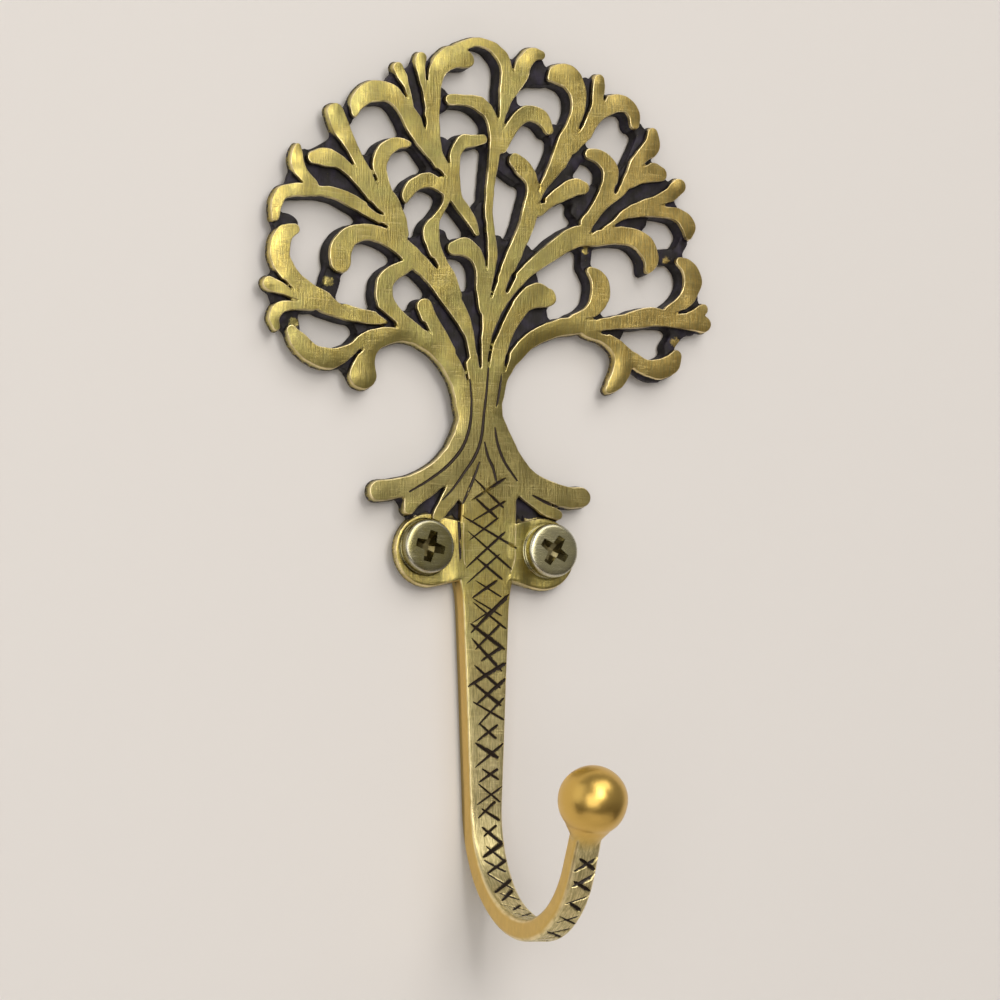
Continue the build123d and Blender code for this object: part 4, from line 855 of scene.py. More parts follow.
def ball_middle():
    """Middle of the ball and the direction of the arm, in the frame's axes."""
    turn = math.radians(90 - ARM_LEAN)
    u, v = on_arm(turn, ARM_LENGTH)
    return np.array([SHAFT_X, -u, v]), np.array([0, -math.cos(turn), math.sin(turn)])


def shaft_and_bend():
    """The flat shaft, the bend and the arm as one filed bar with softened corners."""
    line = bar_line()
    rng = np.random.default_rng(SEED)
    wander = np.convolve(rng.normal(size=len(line) + 16), np.hanning(17) / 8, "valid")[: len(line)]
    rows, edges = [], []
    for (y, z, ny, nz, width, s), wave in zip(line, wander):
        on_wall = s < 0
        sunk = SUNK_DEPTH * max(0, (z - SUNK_FROM_Z) / SUNK_RUN) if on_wall else 0
        front = CAST_HEIGHT / 2 + FILED_PROUD + FRONT_WAVE * wave - sunk
        back = -CAST_HEIGHT / 2 - (0 if on_wall else BACK_WAVE * wave)
        radius = BAR_ROUND + (BEND_ROUND - BAR_ROUND) * min(1, max(0, s / BEND_BACK_RADIUS))
        points, edge = rounded_section(width + WIDTH_WAVE * wave, front, back, radius)
        place = np.array([SHAFT_X, y, z])
        out = np.array([0, ny, nz])
        rows.append(place + points[:, :1] * np.array([1.0, 0, 0]) + points[:, 1:] * out)
        # Bright edge band on the bar's corners, partly wear and partly a painted highlight, left off where
        # the lug covers the bar
        edges.append(edge if z < LUG_Z - LUG_NECK_HALF else 0 * edge)
    made = tube("shaft_and_bend", rows)
    store(made.data, "edge", np.concatenate(edges))
    return made


def ball_end():
    """The ball on its flared neck, turned round the arm's line."""
    middle, along = ball_middle()
    sphere = np.linspace(math.radians(137), 0, 40)[:-1]
    profile = NECK_PROFILE + [(BALL_RADIUS * math.cos(a), BALL_RADIUS * math.sin(a)) for a in sphere]
    side = np.array([1.0, 0, 0])
    other = np.cross(along, side)
    turn = np.arange(BALL_SIDES) * 2 * np.pi / BALL_SIDES
    round_arm = np.cos(turn)[:, None] * side + np.sin(turn)[:, None] * other
    rows = []
    for t, r in profile:
        uneven = r * (1 + 0.006 * np.sin(2 * turn + t) + 0.004 * np.sin(3 * turn - 0.7 * t))
        rows.append(middle + t * along + uneven[:, None] * round_arm)
    made = tube("ball_end", rows)
    depth = np.array([1 - min(1, abs(t + 6.0) / 0.5) for t, _ in profile])
    store(made.data, "recess", np.repeat(depth * NECK_PATINA, BALL_SIDES))
    return made


# Geometry Nodes

def geometry_tree(name, inputs):
    """A new tree with a geometry input and named sizes, and a function that adds nodes to it."""
    group = bpy.data.node_groups.new(name, "GeometryNodeTree")
    group.interface.new_socket("Geometry", in_out="INPUT", socket_type="NodeSocketGeometry")
    group.interface.new_socket("Geometry", in_out="OUTPUT", socket_type="NodeSocketGeometry")
    for label, kind in inputs:
        group.interface.new_socket(label, in_out="INPUT", socket_type=kind)
    return group, partial(add_node, group)


def real_and_shaded(add, geometry, material):
    """Ends a tree with plain geometry in its material."""
    real = add("GeometryNodeRealizeInstances", {"Geometry": geometry}).outputs[0]
    shaded = add("GeometryNodeSetMaterial", {"Geometry": real, "Material": material}).outputs[0]
    add("NodeGroupOutput", {"Geometry": shaded})


def add_node(tree, kind, values=None, **settings):
    """A node with its settings, whose inputs are linked to other sockets or set to values."""
    node = tree.nodes.new(kind)
    for key, value in settings.items():
        setattr(node, key, value)
    for key, value in (values or {}).items():
        if isinstance(value, bpy.types.NodeSocket):
            tree.links.new(value, node.inputs[key])
        else:
            node.inputs[key].default_value = value
    return node


def grown(obj, group, values, name):
    """The plain mesh that a tree makes from an object with these named inputs."""
    modifier = obj.modifiers.new(name, "NODES")
    modifier.node_group = group
    sockets = {s.name: s.identifier for s in group.interface.items_tree if s.in_out == "INPUT"}
    for label, value in values.items():
        modifier[sockets[label]] = value
    return taken(obj, name)


def curve_object(name, lines):
    """A curve of straight pieces through rows of x, y, z and radius, in millimetres."""
    curve = bpy.data.curves.new(name, "CURVE")
    curve.dimensions = "3D"
    for rows in lines:
        spline = curve.splines.new("POLY")
        spline.points.add(len(rows) - 1)
        for point, (x, y, z, radius) in zip(spline.points, rows):
            point.co = (x * MM, y * MM, z * MM, 1)
            point.radius = radius * MM
    made = bpy.data.objects.new(name, curve)
    bpy.context.scene.collection.objects.link(made)
    return made


def chisel_tree():
    """Places a chisel's V-shaped cuts along a line, each a little off in turn, length, depth and place."""
    group, add = geometry_tree("chisel_cuts", [
        ("Chisel", "NodeSocketObject"), ("Pitch", "NodeSocketFloat"), ("Turn", "NodeSocketFloat"),
        ("Depth", "NodeSocketFloat"), ("Reach", "NodeSocketFloat"), ("Side", "NodeSocketFloat"),
        ("Shift", "NodeSocketFloat"), ("Seed", "NodeSocketInt"), ("Material", "NodeSocketMaterial"),
    ])
    given = add("NodeGroupInput").outputs

    def chance(low, high, offset):
        seed = add("FunctionNodeIntegerMath", {0: given["Seed"], 1: offset}, operation="ADD").outputs[0]
        node = add("FunctionNodeRandomValue", data_type="FLOAT")
        sockets = [s for s in node.inputs if s.enabled]
        sockets[0].default_value, sockets[1].default_value = low, high
        group.links.new(seed, node.inputs["Seed"])
        return next(s for s in node.outputs if s.enabled)

    def times(a, b):
        return add("ShaderNodeMath", {0: a, 1: b}, operation="MULTIPLY").outputs[0]

    def plus(a, b):
        return add("ShaderNodeMath", {0: a, 1: b}, operation="ADD").outputs[0]

    def vectors(operation, values):
        return add("ShaderNodeVectorMath", values, operation=operation).outputs[0]

    spots = add(
        "GeometryNodeCurveToPoints", {"Curve": given["Geometry"], "Length": given["Pitch"]}, mode="LENGTH"
    )
    tangent = spots.outputs["Tangent"]
    across = add("FunctionNodeInputVector", vector=(1, 0, 0)).outputs[0]
    out = vectors("CROSS_PRODUCT", {0: tangent, 1: across})
    facing = vectors("SCALE", {0: out, "Scale": given["Side"]})
    upright = add(
        "FunctionNodeAxesToRotation", {"Primary Axis": facing, "Secondary Axis": across},
        primary_axis="Z", secondary_axis="X",
    ).outputs[0]
    angle = plus(given["Turn"], chance(-MARK_TURN, MARK_TURN, 1))
    turned = add("ShaderNodeCombineXYZ", {"Z": angle}).outputs[0]
    spin = add("FunctionNodeEulerToRotation", {0: turned}).outputs[0]
    rotation = add(
        "FunctionNodeRotateRotation", {"Rotation": upright, "Rotate By": spin}, rotation_space="LOCAL"
    ).outputs[0]
    radius = add("GeometryNodeInputRadius").outputs[0]
    length = times(times(radius, given["Reach"]), chance(*MARK_LENGTHS, 2))
    depth = times(given["Depth"], chance(*MARK_DEPTHS, 3))
    scale = add("ShaderNodeCombineXYZ", {"X": length, "Y": depth, "Z": depth}).outputs[0]
    slip = times(radius, plus(given["Shift"], chance(-MARK_SLIP, MARK_SLIP, 4)))
    shift = add("ShaderNodeCombineXYZ", {"X": slip}).outputs[0]
    creep = times(given["Pitch"], chance(-MARK_CREEP, MARK_CREEP, 5))
    offset = vectors("ADD", {0: shift, 1: vectors("SCALE", {0: tangent, "Scale": creep})})
    moved = add("GeometryNodeSetPosition", {"Geometry": spots.outputs["Points"], "Offset": offset}).outputs[0]
    chisel = add("GeometryNodeObjectInfo", {"Object": given["Chisel"]}).outputs["Geometry"]
    cuts = add("GeometryNodeInstanceOnPoints", {
        "Points": moved, "Instance": chisel, "Rotation": rotation, "Scale": scale,
    }).outputs[0]
    real_and_shaded(add, cuts, given["Material"])
    return group


def chisel():
    """The space that one blow of the chisel takes out: one unit deep and one unit to each end."""
    rows = []
    for x, size in ((-1.0, 0.2), (-0.75, 0.65), (-0.2, 0.85), (0.4, 1.0), (0.85, 0.95), (1.0, 0.4)):
        rows.append(np.array([(x, 0, -size), (x, 3 + size, 3), (x, -3 - size, 3)]))
    made = tube("chisel", [row / MM for row in rows])
    made.hide_render = True
    return made


def groove_tree():
    """Runs a round-nosed graver along lines, as deep as each line's radius."""
    group, add = geometry_tree("graver_lines", [("Material", "NodeSocketMaterial")])
    given = add("NodeGroupInput").outputs
    nose = add("GeometryNodeCurvePrimitiveCircle", {"Resolution": 8, "Radius": 1.0}).outputs[0]
    radius = add("GeometryNodeInputRadius").outputs[0]
    lines = add("GeometryNodeCurveToMesh", {
        "Curve": given["Geometry"], "Profile Curve": nose, "Scale": radius, "Fill Caps": True,
    }).outputs[0]
    real_and_shaded(add, lines, given["Material"])
    return group


def cuts(brass):
    """The crossed chisel cuts on the bar and the lines engraved down the trunk, as solids to take away."""
    line = bar_line()
    half = CAST_HEIGHT / 2
    x = np.full(len(line), SHAFT_X)
    front = np.c_[x, line[:, 0] + half * line[:, 2], line[:, 1] + half * line[:, 3], line[:, 4] / 2]
    outside = np.c_[x, line[:, 0] - half * line[:, 2], line[:, 1] - half * line[:, 3], line[:, 4] / 2]
    low = math.radians(90) * BEND_BACK_RADIUS
    on_shaft = line[:, 5] < 0
    near_ball = (line[:, 5] > low - 1.0) & (line[:, 5] < line[-1, 5] - 5.0)
    lines = [
        (front[on_shaft & (line[:, 1] < 9.0) & (line[:, 1] > -9.0)], 1.0, UPPER_MARKS),
        (front[(line[:, 1] < -9.5) & (line[:, 5] < low - 1.5)], 1.0, LOWER_MARKS),
        (outside[near_ball], -1.0, ARM_MARKS),
    ]
    group = chisel_tree()
    blade = chisel()
    made = []
    for index, (rows, side, marks) in enumerate(lines):
        for lean in (-1, 1):
            along = np.r_[0, np.cumsum(np.linalg.norm(np.diff(rows[:, :3], axis=0), axis=1))]
            struck = rows[along >= (marks["pitch"] * marks["stagger"] if lean > 0 else 0)]
            values = {
                "Chisel": blade, "Pitch": marks["pitch"] * MM, "Turn": lean * math.radians(marks["lean"]),
                "Depth": marks["depth"] * MM, "Reach": marks["reach"], "Side": side, "Shift": marks["shift"],
                "Seed": SEED + 20 * index + 10 * (lean > 0), "Material": brass,
            }
            made.append(grown(curve_object("mark_line", [struck]), group, values, f"cuts_{index}_{lean + 1}"))
    graver = []
    for points in ROOT_LINES:
        path = smooth_path([(px + TREE_OFFSET, pz, 0.0) for px, pz in points])
        taper = np.sin(np.linspace(0.08, 0.92, len(path)) * np.pi) ** 0.5
        face = np.full(len(path), -CAST_HEIGHT - GRAVER_PROUD)
        graver.append(np.c_[path[:, 0], face, path[:, 1], GRAVER_RADIUS * taper])
    made.append(grown(curve_object("root_lines", graver), groove_tree(), {"Material": brass}, "root_cuts"))
    bpy.data.objects.remove(blade)
    for obj in made:
        outwards(obj)
    return made


def combined(base, others, operation):
    """The base with the other solids joined to it or taken away from it."""
    for other in others:
        modifier = base.modifiers.new(other.name, "BOOLEAN")
        modifier.operation = operation
        modifier.solver = "MANIFOLD"
        modifier.object = other
    made = taken(base, base.name)
    for other in others:
        bpy.data.objects.remove(other)
    return made


def carried(obj, name):
    """An object's stored numbers, one for each point."""
    attribute = obj.data.attributes.get(name)
    if attribute is None:
        return np.zeros(len(obj.data.vertices), np.float32)
    values = np.empty(len(obj.data.vertices), np.float32)
    attribute.data.foreach_get("value", values)
    return values


def wear_and_highlight_of_plate(obj, relief):
    """Stores on the plate where its edges are worn and carry a painted highlight, and where the patina lies.
    """
    place = np.empty(len(obj.data.vertices) * 3, np.float32)
    obj.data.vertices.foreach_get("co", place)
    x, y, z = place.reshape(-1, 3).T / MM
    bough, lug = at(relief.bough, x, z), at(relief.lug, x, z)
    depth = CAST_HEIGHT - at(relief.roll, x, z) + y
    on_lug = (lug < 0.02) & (bough > 0.05)
    depth = np.where(on_lug, LUG_HEIGHT + y, depth)
    deep = np.clip((depth - BOUGH_ROUND - PATINA_START) / PATINA_RUN, 0, 1)
    near_rim = (at(relief.ground, x, z) > -0.6) & (np.minimum(bough, lug) < 0.35)
    facing_out = at(relief.open_side, x, z) * near_rim
    seat = np.minimum(np.hypot(x - SCREW_X, z), np.hypot(x + SCREW_X, z)) < SEAT_RADIUS
    facing_out = np.where(y > -0.1, BACK_RIM, facing_out)
    deep = np.where(seat, SEAT_PATINA, deep * (1 - RIM_CLEAN * facing_out))
    for spot_x, spot_z, reach in RUBBED_BRIDGES:
        away = np.hypot(x - TREE_OFFSET - spot_x, z - spot_z)
        deep *= 1 - BRIDGE_CLEAN * np.clip(1.6 - away / reach, 0, 1) * (y < -WEB_HEIGHT * 0.8)
    away = np.where(on_lug, lug, bough)
    store(obj.data, "recess", deep)
    steep = np.hypot(
        at(relief.bough, x + GRID_STEP, z) - at(relief.bough, x - GRID_STEP, z),
        at(relief.bough, x, z + GRID_STEP) - at(relief.bough, x, z - GRID_STEP),
    ) / (2 * GRID_STEP)
    crisp = np.where(on_lug, 1, np.clip((steep - 0.55) / 0.25, 0, 1))
    # Bright edge band just inside each edge: partly wear, partly a painted highlight
    near_edge = np.exp(-(((away + EDGE_INSET) / EDGE_WIDTH) ** 2))
    store(obj.data, "edge", near_edge * (depth < EDGE_DEPTH) * crisp)


class Worn:
    """A solid as it was before it was joined and cut: its surface and the wear and painted edge highlight
    stored on it.
    """

    def __init__(self, obj):
        self.surface = BVHTree.FromObject(obj, bpy.context.evaluated_depsgraph_get())
        self.corners = [list(face.vertices) for face in obj.data.polygons]
        self.places = np.array([vertex.co for vertex in obj.data.vertices])
        self.wear_and_highlight = {name: carried(obj, name) for name in WEAR_AND_HIGHLIGHT_NAMES}

    def read(self, name, face, place):
        """A stored value on a face, nearer corners counting more."""
        corners = self.corners[face]
        share = 1 / (np.linalg.norm(self.places[corners] - np.array(place), axis=1) + 1e-7)
        return self.wear_and_highlight[name][corners] @ (share / share.sum())


def carry_wear_and_highlight(mesh, solids):
    """Stores on the cut casting the wear and painted edge highlight of the nearest solid, the depth of its
    cuts and where the bar is.
    """
    found = {name: np.zeros(len(mesh.vertices)) for name in (*WEAR_AND_HIGHLIGHT_NAMES, "cut", "bar")}
    for index, vertex in enumerate(mesh.vertices):
        hits = [solid.surface.find_nearest(vertex.co) for solid in solids]
        nearest = min(range(len(hits)), key=lambda i: hits[i][3])
        _, _, face, away = hits[nearest]
        for name in WEAR_AND_HIGHLIGHT_NAMES:
            found[name][index] = solids[nearest].read(name, face, vertex.co)
        found["cut"][index] = min(away / MM / CUT_FULL_DEPTH, 1)
        found["bar"][index] = nearest == BAR
    for name, values in found.items():
        store(mesh, name, values)


def hook_casting(brass):
    """The whole casting in one piece, with its wear and painted edge highlight stored on the mesh."""
    relief = Relief()
    parts = [tree_plate(relief), shaft_and_bend(), ball_end()]
    wear_and_highlight_of_plate(parts[0], relief)
    solids = [Worn(part) for part in parts]
    casting = combined(parts[0], parts[1:], "UNION")
    casting = combined(casting, cuts(brass), "DIFFERENCE")
    mesh = casting.data
    carry_wear_and_highlight(mesh, solids)
    store(mesh, "back", [face.normal.y > 0.9 for face in mesh.polygons], "FACE")
    mesh.materials.clear()
    mesh.materials.append(brass)
    mesh.polygons.foreach_set("material_index", np.zeros(len(mesh.polygons), np.int32))
    mesh.shade_smooth()
    mesh.set_sharp_from_angle(angle=math.radians(SHARP_CASTING))
    casting.name = mesh.name = "cast_hook"
    return casting


# Screws

def screw_blank():
    """One pan-head screw along +Y, the underside of its head at 0, before its recess is cut."""
    turn = np.arange(SCREW_SIDES) * 2 * np.pi / SCREW_SIDES

    def ring(y, radius):
        return np.c_[radius * np.cos(turn), np.full(SCREW_SIDES, y), radius * np.sin(turn)]

    rows = [ring(y, radius) for y, radius in HEAD_PROFILE]
    for y in np.arange(SHANK_START, SCREW_LENGTH - TIP_RADIUS, THREAD_STEP):
        taper = np.clip((SCREW_LENGTH - y) / POINT_LENGTH, 0, 1)
        run_in = np.clip((y - THREAD_START) / THREAD_PITCH, 0, 1)
        phase = (y / THREAD_PITCH - turn / (2 * np.pi)) % 1
        ridge = np.clip(1 - np.abs(phase - 0.5) / THREAD_HALF, 0, 1) * run_in
        radius = np.maximum((CORE_RADIUS + (THREAD_RADIUS - CORE_RADIUS) * ridge) * taper, TIP_RADIUS)
        rows.append(ring(y, radius))
    return tube("screw_blank", rows)


def cross_recess():
    """The tapered cross that a driver fits, as a solid to take away from the head."""
    rows = []
    for y, span, wing in RECESS_ROWS:
        inner = wing * RECESS_WAIST
        quarter = np.array([(span, -wing), (span, wing), (inner, inner)])
        points = []
        for i in range(4):
            a = i * np.pi / 2
            points.append(quarter @ np.array([[math.cos(a), math.sin(a)], [-math.sin(a), math.cos(a)]]))
        flat = np.vstack(points)
        rows.append(np.c_[flat[:, 0], np.full(len(flat), y), flat[:, 1]])
    return tube("cross_recess", rows)


def screw_tree():
    """Sets a screw on each point, turned round its own line by the point's turn."""
    group, add = geometry_tree("screws", [("Screw", "NodeSocketObject"), ("Material", "NodeSocketMaterial")])
    given = add("NodeGroupInput").outputs
    turn = add("GeometryNodeInputNamedAttribute", {"Name": "turn"}, data_type="FLOAT").outputs["Attribute"]
    angles = add("ShaderNodeCombineXYZ", {"Y": turn}).outputs[0]
    rotation = add("FunctionNodeEulerToRotation", {0: angles}).outputs[0]
    screw = add("GeometryNodeObjectInfo", {"Object": given["Screw"]}).outputs["Geometry"]
    placed = add("GeometryNodeInstanceOnPoints", {
        "Points": given["Geometry"], "Instance": screw, "Rotation": rotation,
    }).outputs[0]
    real_and_shaded(add, placed, given["Material"])
    return group


def fixing_screws(plating):
    """The two screws, the left one let into its lug and the right one standing on it."""
    screw = combined(screw_blank(), [cross_recess()], "DIFFERENCE")
    place = np.array([v.co for v in screw.data.vertices]) / MM
    away = np.hypot(place[:, 0], place[:, 2])
    in_recess = (away < 2.4) & (place[:, 1] > -2.78) & (place[:, 1] < -0.9)
    # Darker deeper down in the driver's recess
    store(screw.data, "recess", in_recess * np.clip((place[:, 1] + 2.8) / 1.2, 0, 1))
    # Bright rim round the top of the head: partly rubbed plating, partly a painted highlight
    edge = np.exp(-(((place[:, 1] + 2.62) / 0.14) ** 2)) * (away > 3.2)
    store(screw.data, "edge", edge)
    spots = mesh_object("screw_spots", [
        (-SCREW_X * MM, -LEFT_SEAT * MM, 0), (SCREW_X * MM, -RIGHT_SEAT * MM, 0),
    ], [])
    store(spots.data, "turn", [math.radians(LEFT_TURN), math.radians(RIGHT_TURN)])
    screws = grown(spots, screw_tree(), {"Screw": screw, "Material": plating}, "pan_head_screws")
    bpy.data.objects.remove(screw)
    screws.data.shade_smooth()
    screws.data.set_sharp_from_angle(angle=math.radians(SHARP_SCREW))
    return screws


# Finishes

def shader_group(name, inputs, outputs):
    """A new shader node group with named inputs and outputs, and a function that adds nodes to it."""
    group = bpy.data.node_groups.new(name, "ShaderNodeTree")
    for label, value in inputs:
        group.interface.new_socket(label, in_out="INPUT", socket_type="NodeSocketFloat").default_value = value
    for label, kind in outputs:
        group.interface.new_socket(label, in_out="OUTPUT", socket_type=kind)
    return group, partial(add_node, group)


def maths(add):
    """Short ways to add the arithmetic nodes of a tree."""
    def work(operation, a, b=0.0, clamp=False):
        return add("ShaderNodeMath", {0: a, 1: b}, operation=operation, use_clamp=clamp).outputs[0]

    def ramp(value, low, high, start=0.0, end=1.0):
        return add("ShaderNodeMapRange", {
            "Value": value, "From Min": low, "From Max": high, "To Min": start, "To Max": end,
        }, interpolation_type="SMOOTHSTEP").outputs[0]

    def mix(share, a, b):
        node = add("ShaderNodeMix", data_type="RGBA", blend_type="MIX")
        for socket, value in zip([s for s in node.inputs if s.enabled], (share, a, b)):
            if isinstance(value, bpy.types.NodeSocket):
                node.id_data.links.new(value, socket)
            else:
                socket.default_value = value if isinstance(value, float) else (*value, 1.0)
        return next(s for s in node.outputs if s.enabled)

    return work, ramp, mix


def layered(add, colour, layers):
    """The colour under layers of (mask, strength, colour), the last one on top."""
    work, _, mix = maths(add)
    for mask, strength, tint in layers:
        colour = mix(work("MULTIPLY", mask, strength), colour, tint)
    return colour


def summed(add, start, terms):
    """A number with masks added to it, each times its share."""
    work = maths(add)[0]
    for mask, share in terms:
        start = work("ADD", start, work("MULTIPLY", mask, share))
    return start


def in_mm(add):
    """The piece's own coordinates in millimetres."""
    place = add("ShaderNodeTexCoord").outputs["Object"]
    return add("ShaderNodeVectorMath", {0: place, "Scale": 1 / MM}, operation="SCALE").outputs[0]


def noise(add, place, scale, detail=2.0, rough=0.5):
    """A noise of so many waves a millimetre."""
    return add("ShaderNodeTexNoise", {
        "Vector": place, "Scale": scale, "Detail": detail, "Roughness": rough,
    }).outputs["Fac"]


def file_scratch_group():
    """Fine crossing file and polishing scratches over flat faces."""
    group, add = shader_group(
        "file_scratches", [("Amount", 1.0)],
        [("Height", "NodeSocketFloat"), ("Mask", "NodeSocketFloat")],
    )
    given = add("NodeGroupInput").outputs
    work, ramp, _ = maths(add)
    place = in_mm(add)
    lines = None
    for index, (angle, fine) in enumerate(((0.5, 5.0), (-0.65, 6.5), (1.35, 4.2), (2.2, 7.5))):
        turned = add("ShaderNodeMapping", {
            "Vector": place, "Rotation": (0, angle, 0), "Location": (3.7 * index, 0, 1.9 * index),
            "Scale": (0.22, 1.0, fine),
        }).outputs[0]
        line = ramp(noise(add, turned, 1.0, 3.0, 0.6), 0.58, 0.74)
        lines = line if lines is None else work("MAXIMUM", lines, line)
    scaled = work("MULTIPLY", lines, given["Amount"])
    patches = ramp(noise(add, place, 0.23, 2.0), 0.35, 0.65)
    mask = work("MULTIPLY", scaled, work("ADD", work("MULTIPLY", patches, 0.7), 0.3), clamp=True)
    height = work("SUBTRACT", 1.0, mask)
    add("NodeGroupOutput", {"Height": height, "Mask": mask})
    return group


def patina_group():
    """Where the dark patina stays: in recesses, in cuts and as specks in the grain of the casting."""
    group, add = shader_group(
        "dark_patina", [("Recess", 0.0), ("Cut", 0.0), ("Specks", 0.5)], [("Mask", "NodeSocketFloat")],
    )
    given = add("NodeGroupInput").outputs
    work, ramp, _ = maths(add)
    place = in_mm(add)
    grain = work("SUBTRACT", noise(add, place, 3.2, 4.0, 0.62), 0.5)
    uneven = work("ADD", given["Recess"], work("MULTIPLY", grain, 0.55))
    deep = ramp(uneven, 0.28, 0.5)
    rubbed = ramp(noise(add, place, 2.1, 5.0, 0.7), 0.66, 0.74)
    deep = work("SUBTRACT", deep, work("MULTIPLY", rubbed, 0.55), clamp=True)
    in_cut = ramp(work("ADD", given["Cut"], work("MULTIPLY", grain, 0.9)), 0.15, 0.5)
    pits = ramp(noise(add, place, 4.6, 3.0, 0.6), 0.69, 0.75)
    pits = work("MULTIPLY", pits, given["Specks"])
    add("NodeGroupOutput", {"Mask": work("MAXIMUM", work("MAXIMUM", deep, in_cut), pits, clamp=True)})
    return group


def worn_and_highlit_edge_group():
    """Where handling has rubbed the edges bright, and where a painted highlight lies along them."""
    group, add = shader_group("rubbed_edges", [("Edge", 0.0), ("Amount", 1.0)], [("Mask", "NodeSocketFloat")])
    given = add("NodeGroupInput").outputs
    work, ramp, _ = maths(add)
    patchy = ramp(noise(add, in_mm(add), 0.55, 3.0), 0.3, 0.62)
    worn = work("MULTIPLY", ramp(given["Edge"], 0.25, 0.9), work("ADD", work("MULTIPLY", patchy, 0.75), 0.25))
    add("NodeGroupOutput", {"Mask": work("MULTIPLY", worn, given["Amount"], clamp=True)})
    return group


def finish(name):
    """A new material, a function that adds nodes to it and its shader."""
    material = bpy.data.materials.new(name)
    material.use_nodes = True
    tree = material.node_tree
    return material, partial(add_node, tree), tree.nodes["Principled BSDF"]


def attribute(add, name):
    """A number stored on the mesh."""
    return add("ShaderNodeAttribute", attribute_name=name).outputs["Fac"]


def antique_brass(scratches, patina, rubbed):
    """Olive-gold brass, dark in its hollows and cuts, filed on its faces and bright along its edges with wear
    and a painted highlight, with a painted sheen towards the right and on its lower end and a painted shade
    over the trunk.
    """
    material, add, shader = finish("antique_brass")
    link = material.node_tree.links.new
    work, ramp, mix = maths(add)
    place = in_mm(add)
    polish, cut = attribute(add, "polish"), attribute(add, "cut")
    unpolished = work("SUBTRACT", 1.0, polish)
    front = summed(add, 1.0, [(attribute(add, "back"), -0.64)])
    dark = add("ShaderNodeGroup", {
        "Recess": work("MULTIPLY", attribute(add, "recess"), front), "Cut": cut,
        "Specks": summed(add, 0.8, [(polish, -0.75)]),
    }, node_tree=patina).outputs["Mask"]
    # Bright edges: partly worn brass, partly a painted highlight
    bright = add("ShaderNodeGroup", {"Edge": attribute(add, "edge")}, node_tree=rubbed).outputs["Mask"]
    filed = add("ShaderNodeGroup", {
        "Amount": summed(add, 1.0, [(polish, -0.85)]),
    }, node_tree=scratches).outputs
    tarnish = work("MULTIPLY", ramp(noise(add, place, 0.13, 4.0, 0.6), 0.32, 0.68), unpolished)
    blotch = ramp(noise(add, place, 0.9, 3.0, 0.6), 0.35, 0.7)
    upright = add("ShaderNodeMapping", {
        "Vector": place, "Rotation": (0, 0.12, 0), "Scale": (5.5, 1.0, 0.45),
    }).outputs[0]
    brushed = ramp(noise(add, upright, 1.0, 3.0, 0.6), 0.36, 0.66)
    brushed_faces = work("MULTIPLY", brushed, unpolished)
    parted = add("ShaderNodeSeparateXYZ", {0: place}).outputs
    # Painted sheen: the gold warms and lightens towards the right
    right_sheen_share = ramp(parted["X"], 4.0, 30.0)
    # Painted shade: a darker band across the trunk between these heights
    trunk_shade_band = work("MULTIPLY", ramp(parted["Z"], 30.0, 14.0), ramp(parted["Z"], 3.0, 9.0))
    colour = layered(add, mix(tarnish, YELLOW_BRASS, OLIVE_TARNISH), [
        # Painted sheen to the right, then painted shade over the trunk
        (right_sheen_share, 0.75, PAINTED_RIGHT_SHEEN), (trunk_shade_band, 0.7, PAINTED_TRUNK_SHADE),
        # Painted sheen over the lower end of the hook
        (attribute(add, "rubbed"), 0.85, PAINTED_LOWER_SHEEN), (blotch, 0.4, BROWN_BLOTCH),
        (brushed, 0.7, BRUSHED_OLIVE), (polish, 1.0, POLISHED_GOLD),
        # Scratches, then the bright edges, partly wear and partly a painted highlight
        (filed["Mask"], 0.4, BRIGHT_SCRATCH), (bright, 0.75, WORN_HIGHLIT_EDGE),
    ])
    soot = mix(ramp(noise(add, place, 0.5, 2.0), 0.4, 0.7), BLACK_SOOT, VIOLET_SOOT)
    link(mix(dark, colour, mix(cut, soot, BROWN_SOOT)), shader.inputs["Base Color"])
    link(summed(add, 1.0, [(dark, -0.75)]), shader.inputs["Metallic"])
    link(summed(add, 0.27, [
        (tarnish, 0.08), (polish, 0.03), (filed["Mask"], 0.08), (brushed_faces, 0.1), (dark, 0.22),
    ]), shader.inputs["Roughness"])
    grain = noise(add, place, 2.4, 4.0, 0.6)
    height = summed(add, 0.0, [(filed["Height"], 0.5), (grain, 0.5), (brushed_faces, -0.35), (dark, -0.4)])
    bump = add("ShaderNodeBump", {"Height": height, "Strength": 0.5, "Distance": 0.06 * MM})
    link(bump.outputs["Normal"], shader.inputs["Normal"])
    return material


